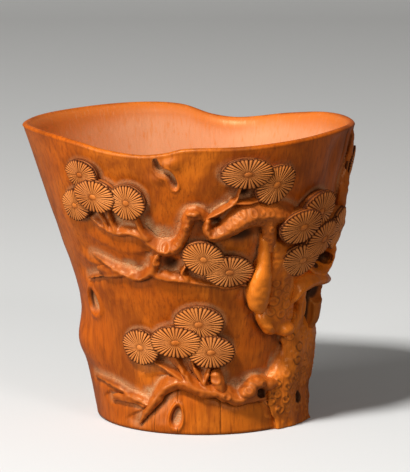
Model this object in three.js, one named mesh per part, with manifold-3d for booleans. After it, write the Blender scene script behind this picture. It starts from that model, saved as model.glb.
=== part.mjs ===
import * as THREE from 'three';
import { mergeVertices } from 'three/addons/utils/BufferGeometryUtils.js';
import Module from 'manifold-3d';

const wasm = await Module();
wasm.setup();

// A small cup carved from one piece of boxwood: a leaning, flaring wall on a flat foot, with a
// pine tree in high relief. Millimetres, +Z up, the photographed side faces -Y, and the origin
// is the centre of the foot. Each relief piece is laid on the wall by an angle (degrees round
// the cup, 270 is the photographed front) and a level (share of the cup's height).

// Cup
const CUP_HEIGHT = 106;
const FOOT_LENGTH = 74.6;
const FOOT_WIDTH = 74.2;
const MOUTH_LENGTH = 117.2;
const MOUTH_WIDTH = 109.5;
const MOUTH_SHIFT_X = -4.2;
const MOUTH_SHIFT_Y = -1.2;
const FOOT_CHAMFER = 0.7;
const RIM_THICKNESS = 2.8;
const WALL_THICKNESS = 5.5;
const FLOOR_THICKNESS = 10;
const BOWL_CORNER = 14;
const LIP_REACH = 1.6;
const LIP_ANGLE = 184;
const LIP_SPREAD = 9;

// Relief: its sizes are drawn on a cup of the drawing's height, and stretch with the real one
const DRAWING_HEIGHT = 106;
const CLEARANCE = 0.3;
const FAN_RIDGES = 11;
const FAN_DEPTH = 2.3;
const NEEDLE_RELIEF = 0.22;
const FAN_UNDERCUT = 0.88;
const BARK_SWELL = 0.07;
const NOSE_NARROWING = 0.6;

// Share of the way from the foot's reach to the mouth's reach, by level: -X, +X, -Y and +Y side
const FLARE = [
  [0.0, 0.0, 0.0, 0.0, 0.0],
  [0.21, 0.15, -0.12, -0.03, -0.03],
  [0.42, 0.255, 0.075, 0.16, 0.18],
  [0.71, 0.64, 0.58, 0.64, 0.68],
  [1.0, 1.0, 1.0, 1.0, 1.0],
];

// Level of the wavy rim, by angle
const RIM = [
  [0, 0.994], [30, 0.982], [52, 0.958], [74, 0.93], [86, 0.939], [98, 0.972], [114, 0.984],
  [150, 0.985], [186, 0.994], [208, 0.996], [222, 0.985], [233, 0.969], [247, 0.96],
  [256, 0.969], [264, 0.986], [285, 0.99], [308, 0.999], [332, 1.006], [360, 0.994],
];

const radians = THREE.MathUtils.degToRad;
const RIM_ROUND = RIM.map(([a, level]) => [a - 360, level])
  .concat(RIM.slice(1), RIM.slice(1).map(([a, level]) => [a + 360, level]));

// Smooth curve through the rows of a table; the first column is the position
function along(table, x, column = 1) {
  let i = 0;
  while (i < table.length - 2 && x > table[i + 1][0]) i += 1;
  const slope = (k) => {
    const before = table[Math.max(k - 1, 0)];
    const after = table[Math.min(k + 1, table.length - 1)];
    return (after[column] - before[column]) / (after[0] - before[0]);
  };
  const step = table[i + 1][0] - table[i][0];
  const t = (x - table[i][0]) / step;
  const [p0, p1] = [table[i][column], table[i + 1][column]];
  const [m0, m1] = [slope(i) * step, slope(i + 1) * step];
  const rise = 3 * t * t - 2 * t * t * t;
  return p0 + (p1 - p0) * rise + m0 * (t ** 3 - 2 * t * t + t) + m1 * (t ** 3 - t * t);
}

// Distance from the axis to the outer wall
function wallRadius(angle, level) {
  const a = radians(angle);
  const [c, s] = [Math.cos(a), Math.sin(a)];
  const reach = (foot, mouth, column) => {
    return foot + (mouth - foot) * along(FLARE, Math.max(level, 0), column);
  };
  const alongX = c < 0
    ? reach(FOOT_LENGTH / 2, MOUTH_LENGTH / 2 - MOUTH_SHIFT_X, 1)
    : reach(FOOT_LENGTH / 2, MOUTH_LENGTH / 2 + MOUTH_SHIFT_X, 2);
  const alongY = s < 0
    ? reach(FOOT_WIDTH / 2, MOUTH_WIDTH / 2 - MOUTH_SHIFT_Y, 3)
    : reach(FOOT_WIDTH / 2, MOUTH_WIDTH / 2 + MOUTH_SHIFT_Y, 4);
  const off = (((angle - LIP_ANGLE) % 360) + 540) % 360 - 180;
  const lip = LIP_REACH * Math.exp(-((off / LIP_SPREAD) ** 2)) * Math.max(level, 0) ** 6;
  return 1 / Math.hypot(c / alongX, s / alongY) + lip;
}

function wallPoint(angle, level) {
  const r = wallRadius(angle, level);
  const a = radians(angle);
  return new THREE.Vector3(r * Math.cos(a), r * Math.sin(a), level * CUP_HEIGHT);
}

// Point at a distance out from the wall, square to it
function onWall(angle, level, out) {
  const p = wallPoint(angle, level);
  const round = wallPoint(angle + 0.5, level).sub(wallPoint(angle - 0.5, level));
  const up = wallPoint(angle, level + 0.005).sub(wallPoint(angle, level - 0.005));
  return p.addScaledVector(round.cross(up).normalize(), out);
}

// Point beside a place on the wall: across in millimetres over the wall, up in the drawing's
function beside(angle, level, across, up, out) {
  const turn = THREE.MathUtils.radToDeg(across / wallRadius(angle, level));
  return onWall(angle + turn, level + up / DRAWING_HEIGHT, out);
}

function toSolid(geometry) {
  const bare = geometry.clone();
  bare.deleteAttribute('normal');
  bare.deleteAttribute('uv');
  const merged = mergeVertices(bare, 1e-5);
  return new wasm.Manifold(new wasm.Mesh({
    numProp: 3,
    vertProperties: Float32Array.from(merged.attributes.position.array),
    triVerts: Uint32Array.from(merged.index.array),
  }));
}

// Closed skin over rings of points, every ring with the same count. The ends close on one point
// each, or on the faces of a section given as triples of ring places.
function skin(rings, start, end, capFaces = []) {
  const n = rings[0].length;
  const position = [start, ...rings.flat(), end].flatMap((p) => [p.x, p.y, p.z]);
  const index = [];
  const at = (ring, k) => 1 + ring * n + ((k + n) % n);
  const last = rings.length - 1;
  for (let ring = 0; ring < last; ring += 1) {
    for (let k = 0; k < n; k += 1) {
      index.push(at(ring, k), at(ring, k + 1), at(ring + 1, k));
      index.push(at(ring, k + 1), at(ring + 1, k + 1), at(ring + 1, k));
    }
  }
  capFaces.forEach(([a, b, c]) => {
    index.push(at(0, c), at(0, b), at(0, a));
    index.push(at(last, a), at(last, b), at(last, c));
  });
  for (let k = 0; k < n && capFaces.length === 0; k += 1) {
    index.push(0, at(0, k + 1), at(0, k));
    index.push(at(last, k), at(last, k + 1), 1 + rings.length * n);
  }
  const geometry = new THREE.BufferGeometry();
  geometry.setAttribute('position', new THREE.Float32BufferAttribute(position, 3));
  geometry.setIndex(index);
  return geometry;
}

// The cup: one closed skin from the foot's centre, up the wall, over the rim, into the bowl
function cupWall() {
  const around = 48;
  const outerRows = 16;
  const bowlRows = 3;
  const cornerRows = 3;
  const thickness = (level) => {
    return RIM_THICKNESS + (WALL_THICKNESS - RIM_THICKNESS) * Math.min(1, (1 - level) * 2.2);
  };
  const angles = Array.from({ length: around }, (_, k) => (k * 360) / around);
  const rings = [];
  const addRing = (place) => rings.push(angles.map(place));
  const inward = (angle, level, depth, height) => {
    const a = radians(angle);
    const r = Math.max(wallRadius(angle, level) - depth, 0);
    return new THREE.Vector3(r * Math.cos(a), r * Math.sin(a), height);
  };
  addRing((a) => inward(a, 0, FOOT_CHAMFER, 0));
  for (let row = 0; row <= outerRows; row += 1) {
    addRing((a) => {
      const top = along(RIM_ROUND, a) - RIM_THICKNESS / 2 / CUP_HEIGHT;
      const low = FOOT_CHAMFER / CUP_HEIGHT;
      const level = low + ((top - low) * row) / outerRows;
      return inward(a, level, 0, level * CUP_HEIGHT);
    });
  }
  for (const turn of [45, 90, 135]) {
    addRing((a) => {
      const level = along(RIM_ROUND, a);
      const half = RIM_THICKNESS / 2;
      const depth = half * (1 - Math.cos(radians(turn)));
      return inward(a, level, depth, level * CUP_HEIGHT - half * (1 - Math.sin(radians(turn))));
    });
  }
  const bend = FLOOR_THICKNESS + BOWL_CORNER;
  for (let row = 0; row <= bowlRows; row += 1) {
    addRing((a) => {
      const top = along(RIM_ROUND, a) * CUP_HEIGHT - RIM_THICKNESS / 2;
      const height = top + ((bend - top) * row) / bowlRows;
      const level = height / CUP_HEIGHT;
      return inward(a, level, thickness(level), height);
    });
  }
  for (let row = 1; row <= cornerRows; row += 1) {
    const turn = radians((90 * row) / cornerRows);
    addRing((a) => {
      const depth = WALL_THICKNESS + BOWL_CORNER * (1 - Math.cos(turn));
      return inward(a, bend / CUP_HEIGHT, depth, bend - BOWL_CORNER * Math.sin(turn));
    });
  }
  const floor = new THREE.Vector3(0, 0, FLOOR_THICKNESS);
  return toSolid(skin(rings, new THREE.Vector3(0, 0, 0), floor));
}

// Rounded hollow sunk into the wall, as at a knot
function hollow({ at: [angle, level], half: [across, up], depth, tilt = 0 }) {
  const out = onWall(angle, level, 1).sub(onWall(angle, level, 0)).normalize();
  const side = beside(angle, level, 0.5, 0, 0).sub(beside(angle, level, -0.5, 0, 0)).normalize();
  const rise = out.clone().cross(side).normalize();
  const frame = new THREE.Matrix4().makeBasis(side, rise, out);
  frame.multiply(new THREE.Matrix4().makeRotationZ(radians(tilt)));
  frame.setPosition(onWall(angle, level, 0));
  const ball = new THREE.SphereGeometry(1, 10, 6);
  ball.scale(across, up, depth);
  ball.applyMatrix4(frame);
  return toSolid(ball);
}

// Faces that close a section, zipped between its seat (the first rows, at out 0) and its back
function capStrip(section) {
  const seatEnd = section.findLastIndex(([, out]) => out === 0);
  const faces = [];
  let i = 0;
  let j = section.length - 1;
  while (i < seatEnd || j > seatEnd + 1) {
    const alongSeat = i < seatEnd && (j === seatEnd + 1 || section[i + 1][0] <= section[j - 1][0]);
    faces.push(alongSeat ? [i, i + 1, j] : [i, j - 1, j]);
    i += alongSeat ? 1 : 0;
    j -= alongSeat ? 0 : 1;
  }
  return faces;
}

// Loft along stations [angle, level, half width, height off the wall]. The section is given by
// rows [across, out] as shares of the half width and the height. A rounded end runs on by a
// share of the half width and narrows; a grown loft keeps its full section there.
function loft(stations, section, options = {}) {
  const { count = 10, grow = 0, base = CLEARANCE, swell = 0, nose = 0 } = options;
  const turns = stations.map(([a]) => a);
  const middleAngle = (Math.min(...turns) + Math.max(...turns)) / 2;
  const reach = wallRadius(middleAngle, stations[0][1]);
  const course = new THREE.CatmullRomCurve3(stations.map(([a, level]) => {
    return new THREE.Vector3(radians(a) * reach, level * DRAWING_HEIGHT, 0);
  }));
  const size = new THREE.CatmullRomCurve3(stations.map(([, , half, high]) => {
    return new THREE.Vector3(half, high, 0);
  }));
  const ringAt = (i, ahead, narrow) => {
    const t = i / count;
    const p = course.getPoint(t);
    const heading = course.getTangent(t);
    const { x: half, y: high } = size.getPoint(t);
    const knobbly = 1 + swell * Math.sin(i * 2.4);
    const angle = THREE.MathUtils.radToDeg(p.x / reach);
    const push = ahead * (nose * half + grow);
    return section.map(([across, out]) => {
      const s = across * (half * knobbly * narrow + grow);
      const side = s * -heading.y + push * heading.x;
      const rise = s * heading.x + push * heading.y;
      const raised = out > 0 ? out * high * knobbly * narrow + grow : base;
      return beside(angle, p.y / DRAWING_HEIGHT, side, rise, raised);
    });
  };
  const rings = Array.from({ length: count + 1 }, (_, i) => ringAt(i, 0, 1));
  const narrow = grow > 0 ? 1 : NOSE_NARROWING;
  if (nose > 0 || grow > 0) {
    rings.unshift(ringAt(0, -1, narrow));
    rings.push(ringAt(count, 1, narrow));
  }
  return toSolid(skin(rings, rings[0][0], rings[0][0], capStrip(section)));
}

// Sections across a limb: undercut sides below a rounded back, and a wide bark mass
const LIMB = [[-0.82, 0], [0.82, 0], [1, 0.4], [0.72, 0.85], [0, 1.05], [-0.72, 0.85],
  [-1, 0.4]];
const MASS = [[-0.94, 0], [-0.63, 0], [-0.31, 0], [0, 0], [0.31, 0], [0.63, 0], [0.94, 0],
  [1, 0.35], [0.78, 0.8], [0.3, 1], [-0.3, 1.02], [-0.78, 0.8], [-1, 0.35]];
const COLUMN = [[-1, 0], [-0.5, 0], [0, 0], [0.5, 0], [1, 0], [1, 1], [0, 1.02], [-1, 1]];
const COLUMN_FOOT = -1;
const COLUMN_TOP = 15;

// A limb is the join of its runs; its column is the space that pieces under it keep out of
function limb(runs, section = LIMB, nose = 0.6, base = CLEARANCE * 1.3, clearance = CLEARANCE) {
  const join = (parts) => parts.reduce((all, part) => all.add(part));
  return {
    solid: join(runs.map(({ stations, count }) => {
      return loft(stations, section, { count, base, swell: BARK_SWELL, nose });
    })),
    column: join(runs.map(({ stations, count }) => {
      const tall = stations.map(([a, level, half]) => [a, level, half, COLUMN_TOP]);
      return loft(tall, COLUMN, {
        count,
        grow: clearance,
        base: COLUMN_FOOT,
        swell: BARK_SWELL,
        nose,
      });
    })),
  };
}

// A rosette of needles seen from above: a boss in a ring groove, then radiating ridges that
// end in a scalloped edge. Rows: share of the radius, share of the depth, ridge share.
const FAN_PROFILE = [
  [0.17, 0.92, 0],
  [0.25, 0.62, 0.3],
  [0.62, 0.78, 1],
  [1.0, 0.36, 1],
];

function needleFan({ at: [angle, level], half: [across, up], tilt = 0, lift = 0.6 }) {
  const count = FAN_RIDGES * 2;
  const lean = radians(tilt);
  const place = (turn, share, out, grow = 0) => {
    const x = share * (across + grow) * Math.cos(turn);
    const y = share * (up + grow) * Math.sin(turn);
    const side = x * Math.cos(lean) - y * Math.sin(lean);
    const rise = x * Math.sin(lean) + y * Math.cos(lean);
    return beside(angle, level, side, rise, out);
  };
  const turns = Array.from({ length: count }, (_, k) => (-2 * Math.PI * k) / count);
  const rings = FAN_PROFILE.map(([share, high, ridge]) => turns.map((turn, k) => {
    const crest = k % 2 === 0 ? ridge : -ridge;
    const scallop = share === 1 ? 1 + 0.025 * (crest - 1) : 1;
    return place(turn, share * scallop, CLEARANCE + lift + FAN_DEPTH * high + NEEDLE_RELIEF * crest);
  }));
  rings.push(turns.map((turn) => place(turn, FAN_UNDERCUT, CLEARANCE)));
  const crown = place(0, 0, CLEARANCE + lift + FAN_DEPTH);
  const seat = place(0, 0, CLEARANCE * 1.5);
  const ends = [COLUMN_FOOT, COLUMN_TOP].map((out) => turns.map((turn) => {
    return place(turn, 1, out, CLEARANCE);
  }));
  return {
    solid: toSolid(skin(rings, crown, seat)),
    column: toSolid(skin(ends.reverse(), place(0, 0, COLUMN_TOP), place(0, 0, COLUMN_FOOT))),
  };
}

const WALL_COLOUR = 0xbe6218;
const FAN_COLOUR = 0xb6703c;
const LIMB_COLOUR = 0xb8590f;
const TRUNK_COLOUR = 0xa85210;

// Every relief piece, topmost first: a piece keeps clear of all that come before it
const relief = [];
const carve = (name, colour, shape) => relief.push({ name, colour, ...shape });
const fan = (number, shape) => {
  carve(`needle_fan_${String(number).padStart(2, '0')}`, FAN_COLOUR, needleFan(shape));
};

// Upper left spray
fan(2, { at: [228.6, 0.817], half: [8.4, 5.9], lift: 1.4 });
fan(4, { at: [241.6, 0.805], half: [6.7, 6.4], lift: 0.8 });
fan(1, { at: [223.4, 0.883], half: [6.9, 5.2], lift: 0.3 });
fan(3, { at: [217.6, 0.772], half: [7.4, 5.6], tilt: 20, lift: 0.3 });

// Spray under the rim
fan(5, { at: [286.1, 0.909], half: [9.2, 5.5], lift: 1.2 });
fan(6, { at: [297.8, 0.864], half: [8.2, 6.4], tilt: 35, lift: 0.5 });

// Crown on the trunk
fan(8, { at: [311, 0.716], half: [9.2, 5.9], tilt: 8, lift: 3 });
fan(9, { at: [326.8, 0.655], half: [9.2, 6], tilt: 14, lift: 2.8 });
fan(10, { at: [315.6, 0.595], half: [9.5, 5.8], lift: 2.4 });
fan(7, { at: [321.4, 0.75], half: [9.4, 7.1], tilt: 16, lift: 1.8 });
fan(11, { at: [344.5, 0.664], half: [8.6, 7.6], lift: 1.7 });
fan(12, { at: [357, 0.862], half: [7, 5.8], lift: 0.2 });

// Continuation round the side
fan(20, { at: [21, 0.8], half: [8.6, 6.2], lift: 1.2 });
fan(19, { at: [7, 0.74], half: [7.6, 6.8], lift: 1 });
fan(21, { at: [34, 0.715], half: [8.6, 6.2], lift: 0.8 });
fan(22, { at: [49, 0.79], half: [8, 6.4], lift: 0.6 });

// Upper branch with its twig
carve('upper_twig', LIMB_COLOUR, limb([
  { stations: [[266.5, 0.738, 0.9, 2.6], [273.7, 0.76, 1.2, 3.2], [278.4, 0.784, 1.2, 3.2],
    [282.4, 0.808, 1.2, 3], [285, 0.87, 0.9, 2.2]], count: 10 },
  { stations: [[281.6, 0.8, 1.2, 2.8], [286, 0.803, 1.1, 2.8], [293, 0.832, 0.9, 2.4]], count: 5 },
]));
carve('upper_branch', LIMB_COLOUR, limb([
  { stations: [[315, 0.752, 3.2, 4.4], [308, 0.77, 3.6, 5], [299, 0.782, 3.9, 5.4],
    [290, 0.766, 3.8, 5.2],
    [283, 0.752, 3.6, 5], [278.4, 0.724, 3.2, 4.8], [273.8, 0.698, 2.3, 4.2],
    [268.6, 0.706, 1.8, 4]], count: 14 },
  { stations: [[299, 0.782, 2.6, 4.4], [298.4, 0.72, 2.9, 4.6], [298, 0.665, 2.5, 4]], count: 5 },
]));

// Middle spray, tucked under the upper branch
fan(13, { at: [270.6, 0.62], half: [7.4, 6.1], tilt: -25, lift: 0.6 });
fan(14, { at: [281.6, 0.572], half: [8.8, 5.8], tilt: -4, lift: 0.4 });

// Lower spray
fan(16, { at: [256.9, 0.325], half: [8.8, 6], lift: 1.4 });
fan(18, { at: [274.3, 0.29], half: [8.2, 6.1], tilt: -8, lift: 0.9 });
fan(17, { at: [237.9, 0.295], half: [7, 6.4], tilt: -20, lift: 0.5 });
fan(15, { at: [268.3, 0.387], half: [8.7, 6.6], lift: 0.3 });

// Left branch: from the domed knob beside the upper branch out to the upper left spray
carve('left_branch', LIMB_COLOUR, limb([
  { stations: [[265.6, 0.765, 3.1, 4.4], [263.4, 0.725, 2.8, 4], [260.5, 0.655, 2.8, 3.6],
    [254, 0.633, 2.9, 3.6], [249, 0.66, 2.5, 3.2], [243.4, 0.692, 2.1, 2.8],
    [236, 0.682, 1.8, 2.6], [230, 0.692, 1.5, 2.4], [221.5, 0.728, 0.8, 1.8]], count: 16 },
  { stations: [[233.5, 0.69, 1, 2.4], [231, 0.725, 1, 2.4], [229, 0.8, 0.8, 2]], count: 4 },
  { stations: [[236.6, 0.69, 1, 2.4], [234.6, 0.73, 0.9, 2.2], [231.5, 0.8, 0.8, 2]], count: 4 },
  { stations: [[246, 0.69, 1.1, 2.4], [244.4, 0.73, 1, 2.2], [242.4, 0.79, 0.8, 2]], count: 4 },
]));

// Middle branch: forked tips at the left, a ringed knob, and a thin run under the middle spray
carve('middle_branch', LIMB_COLOUR, limb([
  { stations: [[291.5, 0.508, 0.8, 1.6], [271, 0.52, 1.1, 2], [258, 0.524, 1.4, 2.6],
    [251.5, 0.545, 1.9, 3], [246.5, 0.553, 2, 3], [242, 0.533, 2, 2.8], [237, 0.536, 1.6, 2.6],
    [227, 0.512, 1.1, 2.2], [214, 0.507, 0.7, 1.6]], count: 15 },
  { stations: [[237.5, 0.538, 1.4, 2.6], [233, 0.558, 1.2, 2.6], [226, 0.575, 0.9, 2.2],
    [219, 0.586, 0.5, 1.4]], count: 5 },
  { stations: [[251, 0.545, 1.8, 3], [250.2, 0.572, 1.7, 3], [250, 0.592, 1.2, 2.4]], count: 4 },
]));

// Lower branch with the stems of the lower spray, its left fork, and a cut stump
carve('cut_stump', LIMB_COLOUR, limb([
  { stations: [[281.5, 0.145, 2.2, 3.4], [278.5, 0.165, 2.5, 3.8], [275, 0.192, 2.3, 3.4]],
    count: 5 },
]));
carve('lower_branch', LIMB_COLOUR, limb([
  { stations: [[307, 0.14, 2.8, 4.2], [303, 0.124, 2.6, 4.4], [298, 0.105, 2.2, 4],
    [292, 0.1, 2.1, 3.8], [284, 0.12, 2.3, 3.8], [271.5, 0.14, 2.4, 3.6], [262, 0.157, 2.5, 3.6],
    [253.2, 0.163, 2.3, 3.4], [246.6, 0.128, 1.9, 3], [239.5, 0.068, 1.3, 2.4],
    [234.6, 0.02, 0.5, 1.4]], count: 16 },
  { stations: [[267, 0.155, 1.6, 3.2], [263.4, 0.2, 1.2, 2.8], [259, 0.28, 0.9, 2]], count: 4 },
  { stations: [[262, 0.165, 1.5, 3], [254, 0.215, 1.2, 2.6], [244, 0.262, 0.9, 2]], count: 4 },
  { stations: [[270, 0.15, 1.4, 3], [272.4, 0.205, 1, 2.6], [273.6, 0.26, 0.8, 2]], count: 4 },
]));
carve('lower_left_branch', LIMB_COLOUR, limb([
  { stations: [[241.5, 0.098, 1.4, 2.4], [235, 0.125, 1.4, 2.4], [226, 0.148, 1.2, 2.2],
    [216, 0.163, 1, 2], [203, 0.17, 0.6, 1.4]], count: 10 },
  { stations: [[236, 0.112, 1, 2], [229, 0.105, 0.9, 1.8], [217.5, 0.09, 0.5, 1.2]], count: 5 },
]));

// Trunk, from the crown down: smooth ridges lie over the ringed bark, and the middle mass
// hangs over the lower trunk
carve('trunk_loop', TRUNK_COLOUR, limb([
  { stations: [[344, 0.59, 1.6, 5], [345.5, 0.545, 1.7, 5.4], [340, 0.512, 1.8, 5.4],
    [331, 0.52, 1.6, 4.6]], count: 9 },
]));
carve('trunk_curl', TRUNK_COLOUR, limb([
  { stations: [[349, 0.487, 2.2, 5.4], [338, 0.5, 2.5, 6.4], [326, 0.502, 2.7, 6.6],
    [317.6, 0.466, 2.6, 6.8], [315, 0.425, 1.8, 6.4]], count: 10 },
]));
carve('trunk_stub', TRUNK_COLOUR, limb([
  { stations: [[345.6, 0.455, 4, 5], [344, 0.385, 4.1, 5.4], [343, 0.325, 2.6, 4.8]], count: 6 },
]));
carve('trunk_drip', TRUNK_COLOUR, limb([
  { stations: [[297.5, 0.675, 1.6, 3.2], [298, 0.58, 2.1, 4], [298.5, 0.5, 3.6, 5.6],
    [299.5, 0.435, 4, 6.4], [301, 0.395, 2.4, 5]], count: 10 },
]));
carve('trunk_middle', TRUNK_COLOUR, limb([
  { stations: [[322, 0.575, 12, 4.8], [321.4, 0.5, 15.5, 5.2], [320.4, 0.42, 15.3, 5.8],
    [318.8, 0.365, 14.2, 6.2], [317.8, 0.322, 10.5, 5.6]], count: 9 },
], MASS, 0, CLEARANCE * 1.4, CLEARANCE * 2));
carve('trunk_lower', TRUNK_COLOUR, limb([
  { stations: [[336.4, 0.35, 14.4, 4.4], [338, 0.3, 13.6, 4.8], [338, 0.22, 14, 4.8],
    [334, 0.13, 17, 3.8], [333, 0.012, 20, 2.4]], count: 9 },
], MASS, 0, CLEARANCE * 1.4, CLEARANCE * 2));
carve('side_branch', LIMB_COLOUR, limb([
  { stations: [[354, 0.555, 2.4, 4.4], [363, 0.575, 2.4, 4], [374, 0.63, 2.2, 3.6],
    [386, 0.665, 1.9, 3.2], [394, 0.7, 1.3, 2.6]], count: 9 },
  { stations: [[364, 0.6, 1.4, 3.2], [358, 0.7, 1.2, 2.8], [352, 0.83, 0.9, 2.2]], count: 8 },
]));

// Hollows in the bare wall: the bent slit under the rim, two knots and a scoop by the rim
const slit = loft([[253.9, 0.945, 0.7, 3], [256.6, 0.918, 1.1, 3], [258.6, 0.893, 0.8, 3],
  [260.8, 0.863, 0.9, 3]], COLUMN, { count: 6, base: -2 });
const wallCuts = [
  slit,
  hollow({ at: [212.7, 0.431], half: [2.6, 3.8], depth: 1.2 }),
  hollow({ at: [256.9, 0.064], half: [1.7, 3.9], depth: 1.3, tilt: -6 }),
  hollow({ at: [331, 0.915], half: [3.4, 8], depth: 1.1, tilt: -8 }),
];

function toMesh(name, colour, solid) {
  const { vertProperties, triVerts, numProp } = solid.getMesh();
  const geometry = new THREE.BufferGeometry();
  const position = [];
  for (let i = 0; i < vertProperties.length; i += numProp) {
    position.push(vertProperties[i], vertProperties[i + 1], vertProperties[i + 2]);
  }
  geometry.setAttribute('position', new THREE.Float32BufferAttribute(position, 3));
  geometry.setIndex(Array.from(triVerts));
  geometry.computeVertexNormals();
  const material = new THREE.MeshStandardMaterial({
    color: colour,
    roughness: 0.42,
    metalness: 0,
  });
  const mesh = new THREE.Mesh(geometry, material);
  mesh.name = name;
  return mesh;
}

const cup = new THREE.Group();
cup.name = 'boxwood_cup';
cup.add(toMesh('cup_wall', WALL_COLOUR, wallCuts.reduce((wall, cut) => wall.subtract(cut), cupWall())));

relief.forEach(({ name, colour, solid }, i) => {
  const carved = relief.slice(0, i).reduce((left, over) => left.subtract(over.column), solid);
  cup.add(toMesh(name, colour, carved));
});

export default cup;
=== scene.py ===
"""Looks of a small carved boxwood cup: a leaning, flaring wall with a pine tree in high relief.

Shapes are worked out in millimetres on the wall, by angle (degrees round the cup, 270 is the
front) and level (share of the cup's height), and are written to meshes in metres.
"""

import math

import bmesh
import bpy
import numpy as np
import openvdb
from bpy.props import FloatProperty, FloatVectorProperty, IntProperty, PointerProperty
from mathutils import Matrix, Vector


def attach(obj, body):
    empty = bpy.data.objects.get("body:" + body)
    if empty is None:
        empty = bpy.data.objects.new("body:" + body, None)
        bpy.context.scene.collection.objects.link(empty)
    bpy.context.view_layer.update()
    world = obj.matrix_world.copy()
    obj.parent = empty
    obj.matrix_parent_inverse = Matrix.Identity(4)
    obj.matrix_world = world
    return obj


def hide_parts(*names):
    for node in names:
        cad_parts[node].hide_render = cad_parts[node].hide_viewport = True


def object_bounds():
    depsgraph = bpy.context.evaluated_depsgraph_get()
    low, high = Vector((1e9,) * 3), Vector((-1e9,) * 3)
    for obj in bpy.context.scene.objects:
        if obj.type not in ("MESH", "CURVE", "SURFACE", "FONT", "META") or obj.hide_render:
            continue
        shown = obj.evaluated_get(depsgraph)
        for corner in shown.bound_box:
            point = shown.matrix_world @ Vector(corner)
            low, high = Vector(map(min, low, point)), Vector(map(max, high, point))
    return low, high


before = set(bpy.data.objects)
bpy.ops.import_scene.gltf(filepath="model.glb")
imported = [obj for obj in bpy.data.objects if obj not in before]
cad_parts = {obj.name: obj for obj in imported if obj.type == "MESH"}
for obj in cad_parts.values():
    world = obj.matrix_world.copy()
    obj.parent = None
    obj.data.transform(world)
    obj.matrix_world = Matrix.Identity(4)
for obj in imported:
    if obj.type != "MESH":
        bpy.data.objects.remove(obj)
CAD_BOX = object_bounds()

bl_info = {
    "name": "Carved Boxwood Cup",
    "version": (1, 0, 0),
    "blender": (4, 5, 0),
    "location": "View3D > Sidebar > Boxwood Cup",
    "description": "Makes the wall, the pine relief, the finish and the stage of a boxwood cup",
    "category": "Object",
}

MM = 0.001
TINY = 1e-9

# Sizes of the cup, in millimetres
CUP_HEIGHT = 106.0
FOOT_LENGTH = 74.6
FOOT_WIDTH = 74.2
MOUTH_LENGTH = 117.2
MOUTH_WIDTH = 109.5
MOUTH_SHIFT_X = -4.2
MOUTH_SHIFT_Y = -1.2
FOOT_CHAMFER = 0.7
RIM_THICKNESS = 2.8
WALL_THICKNESS = 5.5
FLOOR_THICKNESS = 10.0
BOWL_CORNER = 14.0
CLEARANCE = 0.3
FAN_DEPTH = 2.3

# The lip: how far it reaches out, and its angle and spread in degrees
LIP_REACH = 1.35
LIP_ANGLE = 184.0
LIP_SPREAD = 9.0

# Share of the radius by which the rim is drawn in
RIM_INSET = 0.0046

# Level, then the share of the way from foot to mouth on the -X, +X, -Y and +Y sides
FLARE = [
    (0.0, 0.0, 0.0, 0.0, 0.0),
    (0.21, 0.15, -0.12, -0.03, -0.03),
    (0.42, 0.255, 0.075, 0.16, 0.18),
    (0.71, 0.64, 0.58, 0.64, 0.68),
    (1.0, 1.0, 1.0, 1.0, 1.0),
]

# Level of the wavy rim, by angle
RIM = [
    (0, 0.994), (30, 0.982), (52, 0.958), (74, 0.93), (86, 0.939), (98, 0.972),
    (114, 0.984), (150, 0.985), (186, 0.994), (208, 0.996), (222, 0.985), (233, 0.969),
    (247, 0.96), (256, 0.969), (264, 0.986), (285, 0.99), (308, 0.999), (332, 1.006),
    (360, 0.994),
]
RIM_ROUND = (
    [(a - 360, level) for a, level in RIM]
    + RIM[1:]
    + [(a + 360, level) for a, level in RIM[1:]]
)


def curve_through(rows, x, column=1):
    """Smooth curve through the rows of a table, whose first column is the position."""
    table = np.asarray(rows, float)
    xs, ys = table[:, 0], table[:, column]
    x = np.asarray(x, float)
    slopes = np.empty(len(xs))
    slopes[1:-1] = (ys[2:] - ys[:-2]) / (xs[2:] - xs[:-2])
    slopes[0] = (ys[1] - ys[0]) / (xs[1] - xs[0])
    slopes[-1] = (ys[-1] - ys[-2]) / (xs[-1] - xs[-2])
    i = np.clip(np.searchsorted(xs, x, side="left") - 1, 0, len(xs) - 2)
    step = xs[i + 1] - xs[i]
    t = (x - xs[i]) / step
    rise = 3 * t**2 - 2 * t**3
    start = (t**3 - 2 * t**2 + t) * slopes[i] * step
    end = (t**3 - t**2) * slopes[i + 1] * step
    return ys[i] + (ys[i + 1] - ys[i]) * rise + start + end


def wall_radius(angle, level):
    """Distance from the axis to the outer wall."""
    a = np.radians(angle)
    c, s = np.cos(a), np.sin(a)
    above = np.maximum(level, 0.0)

    def reach(foot, mouth, column):
        return foot + (mouth - foot) * curve_through(FLARE, above, column)

    left = reach(FOOT_LENGTH / 2, MOUTH_LENGTH / 2 - MOUTH_SHIFT_X, 1)
    right = reach(FOOT_LENGTH / 2, MOUTH_LENGTH / 2 + MOUTH_SHIFT_X, 2)
    front = reach(FOOT_WIDTH / 2, MOUTH_WIDTH / 2 - MOUTH_SHIFT_Y, 3)
    back = reach(FOOT_WIDTH / 2, MOUTH_WIDTH / 2 + MOUTH_SHIFT_Y, 4)
    along_x = np.where(c < 0, left, right)
    along_y = np.where(s < 0, front, back)
    off = turn_between(angle, LIP_ANGLE)
    lip = LIP_REACH * bell(off / LIP_SPREAD) * above**6
    return (1 / np.hypot(c / along_x, s / along_y) + lip) * (1 - RIM_INSET * above**8)


def held(x):
    """Value held between 0 and 1."""
    return np.clip(x, 0, 1)


def bell(x, power=2):
    """Share that is 1 at nothing and falls away smoothly from there."""
    return np.exp(-(x**power))


def turn_between(angle, other):
    """Signed turn in degrees from one angle to another, the short way round."""
    return np.mod(np.asarray(angle, float) - other + 540.0, 360.0) - 180.0


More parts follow.
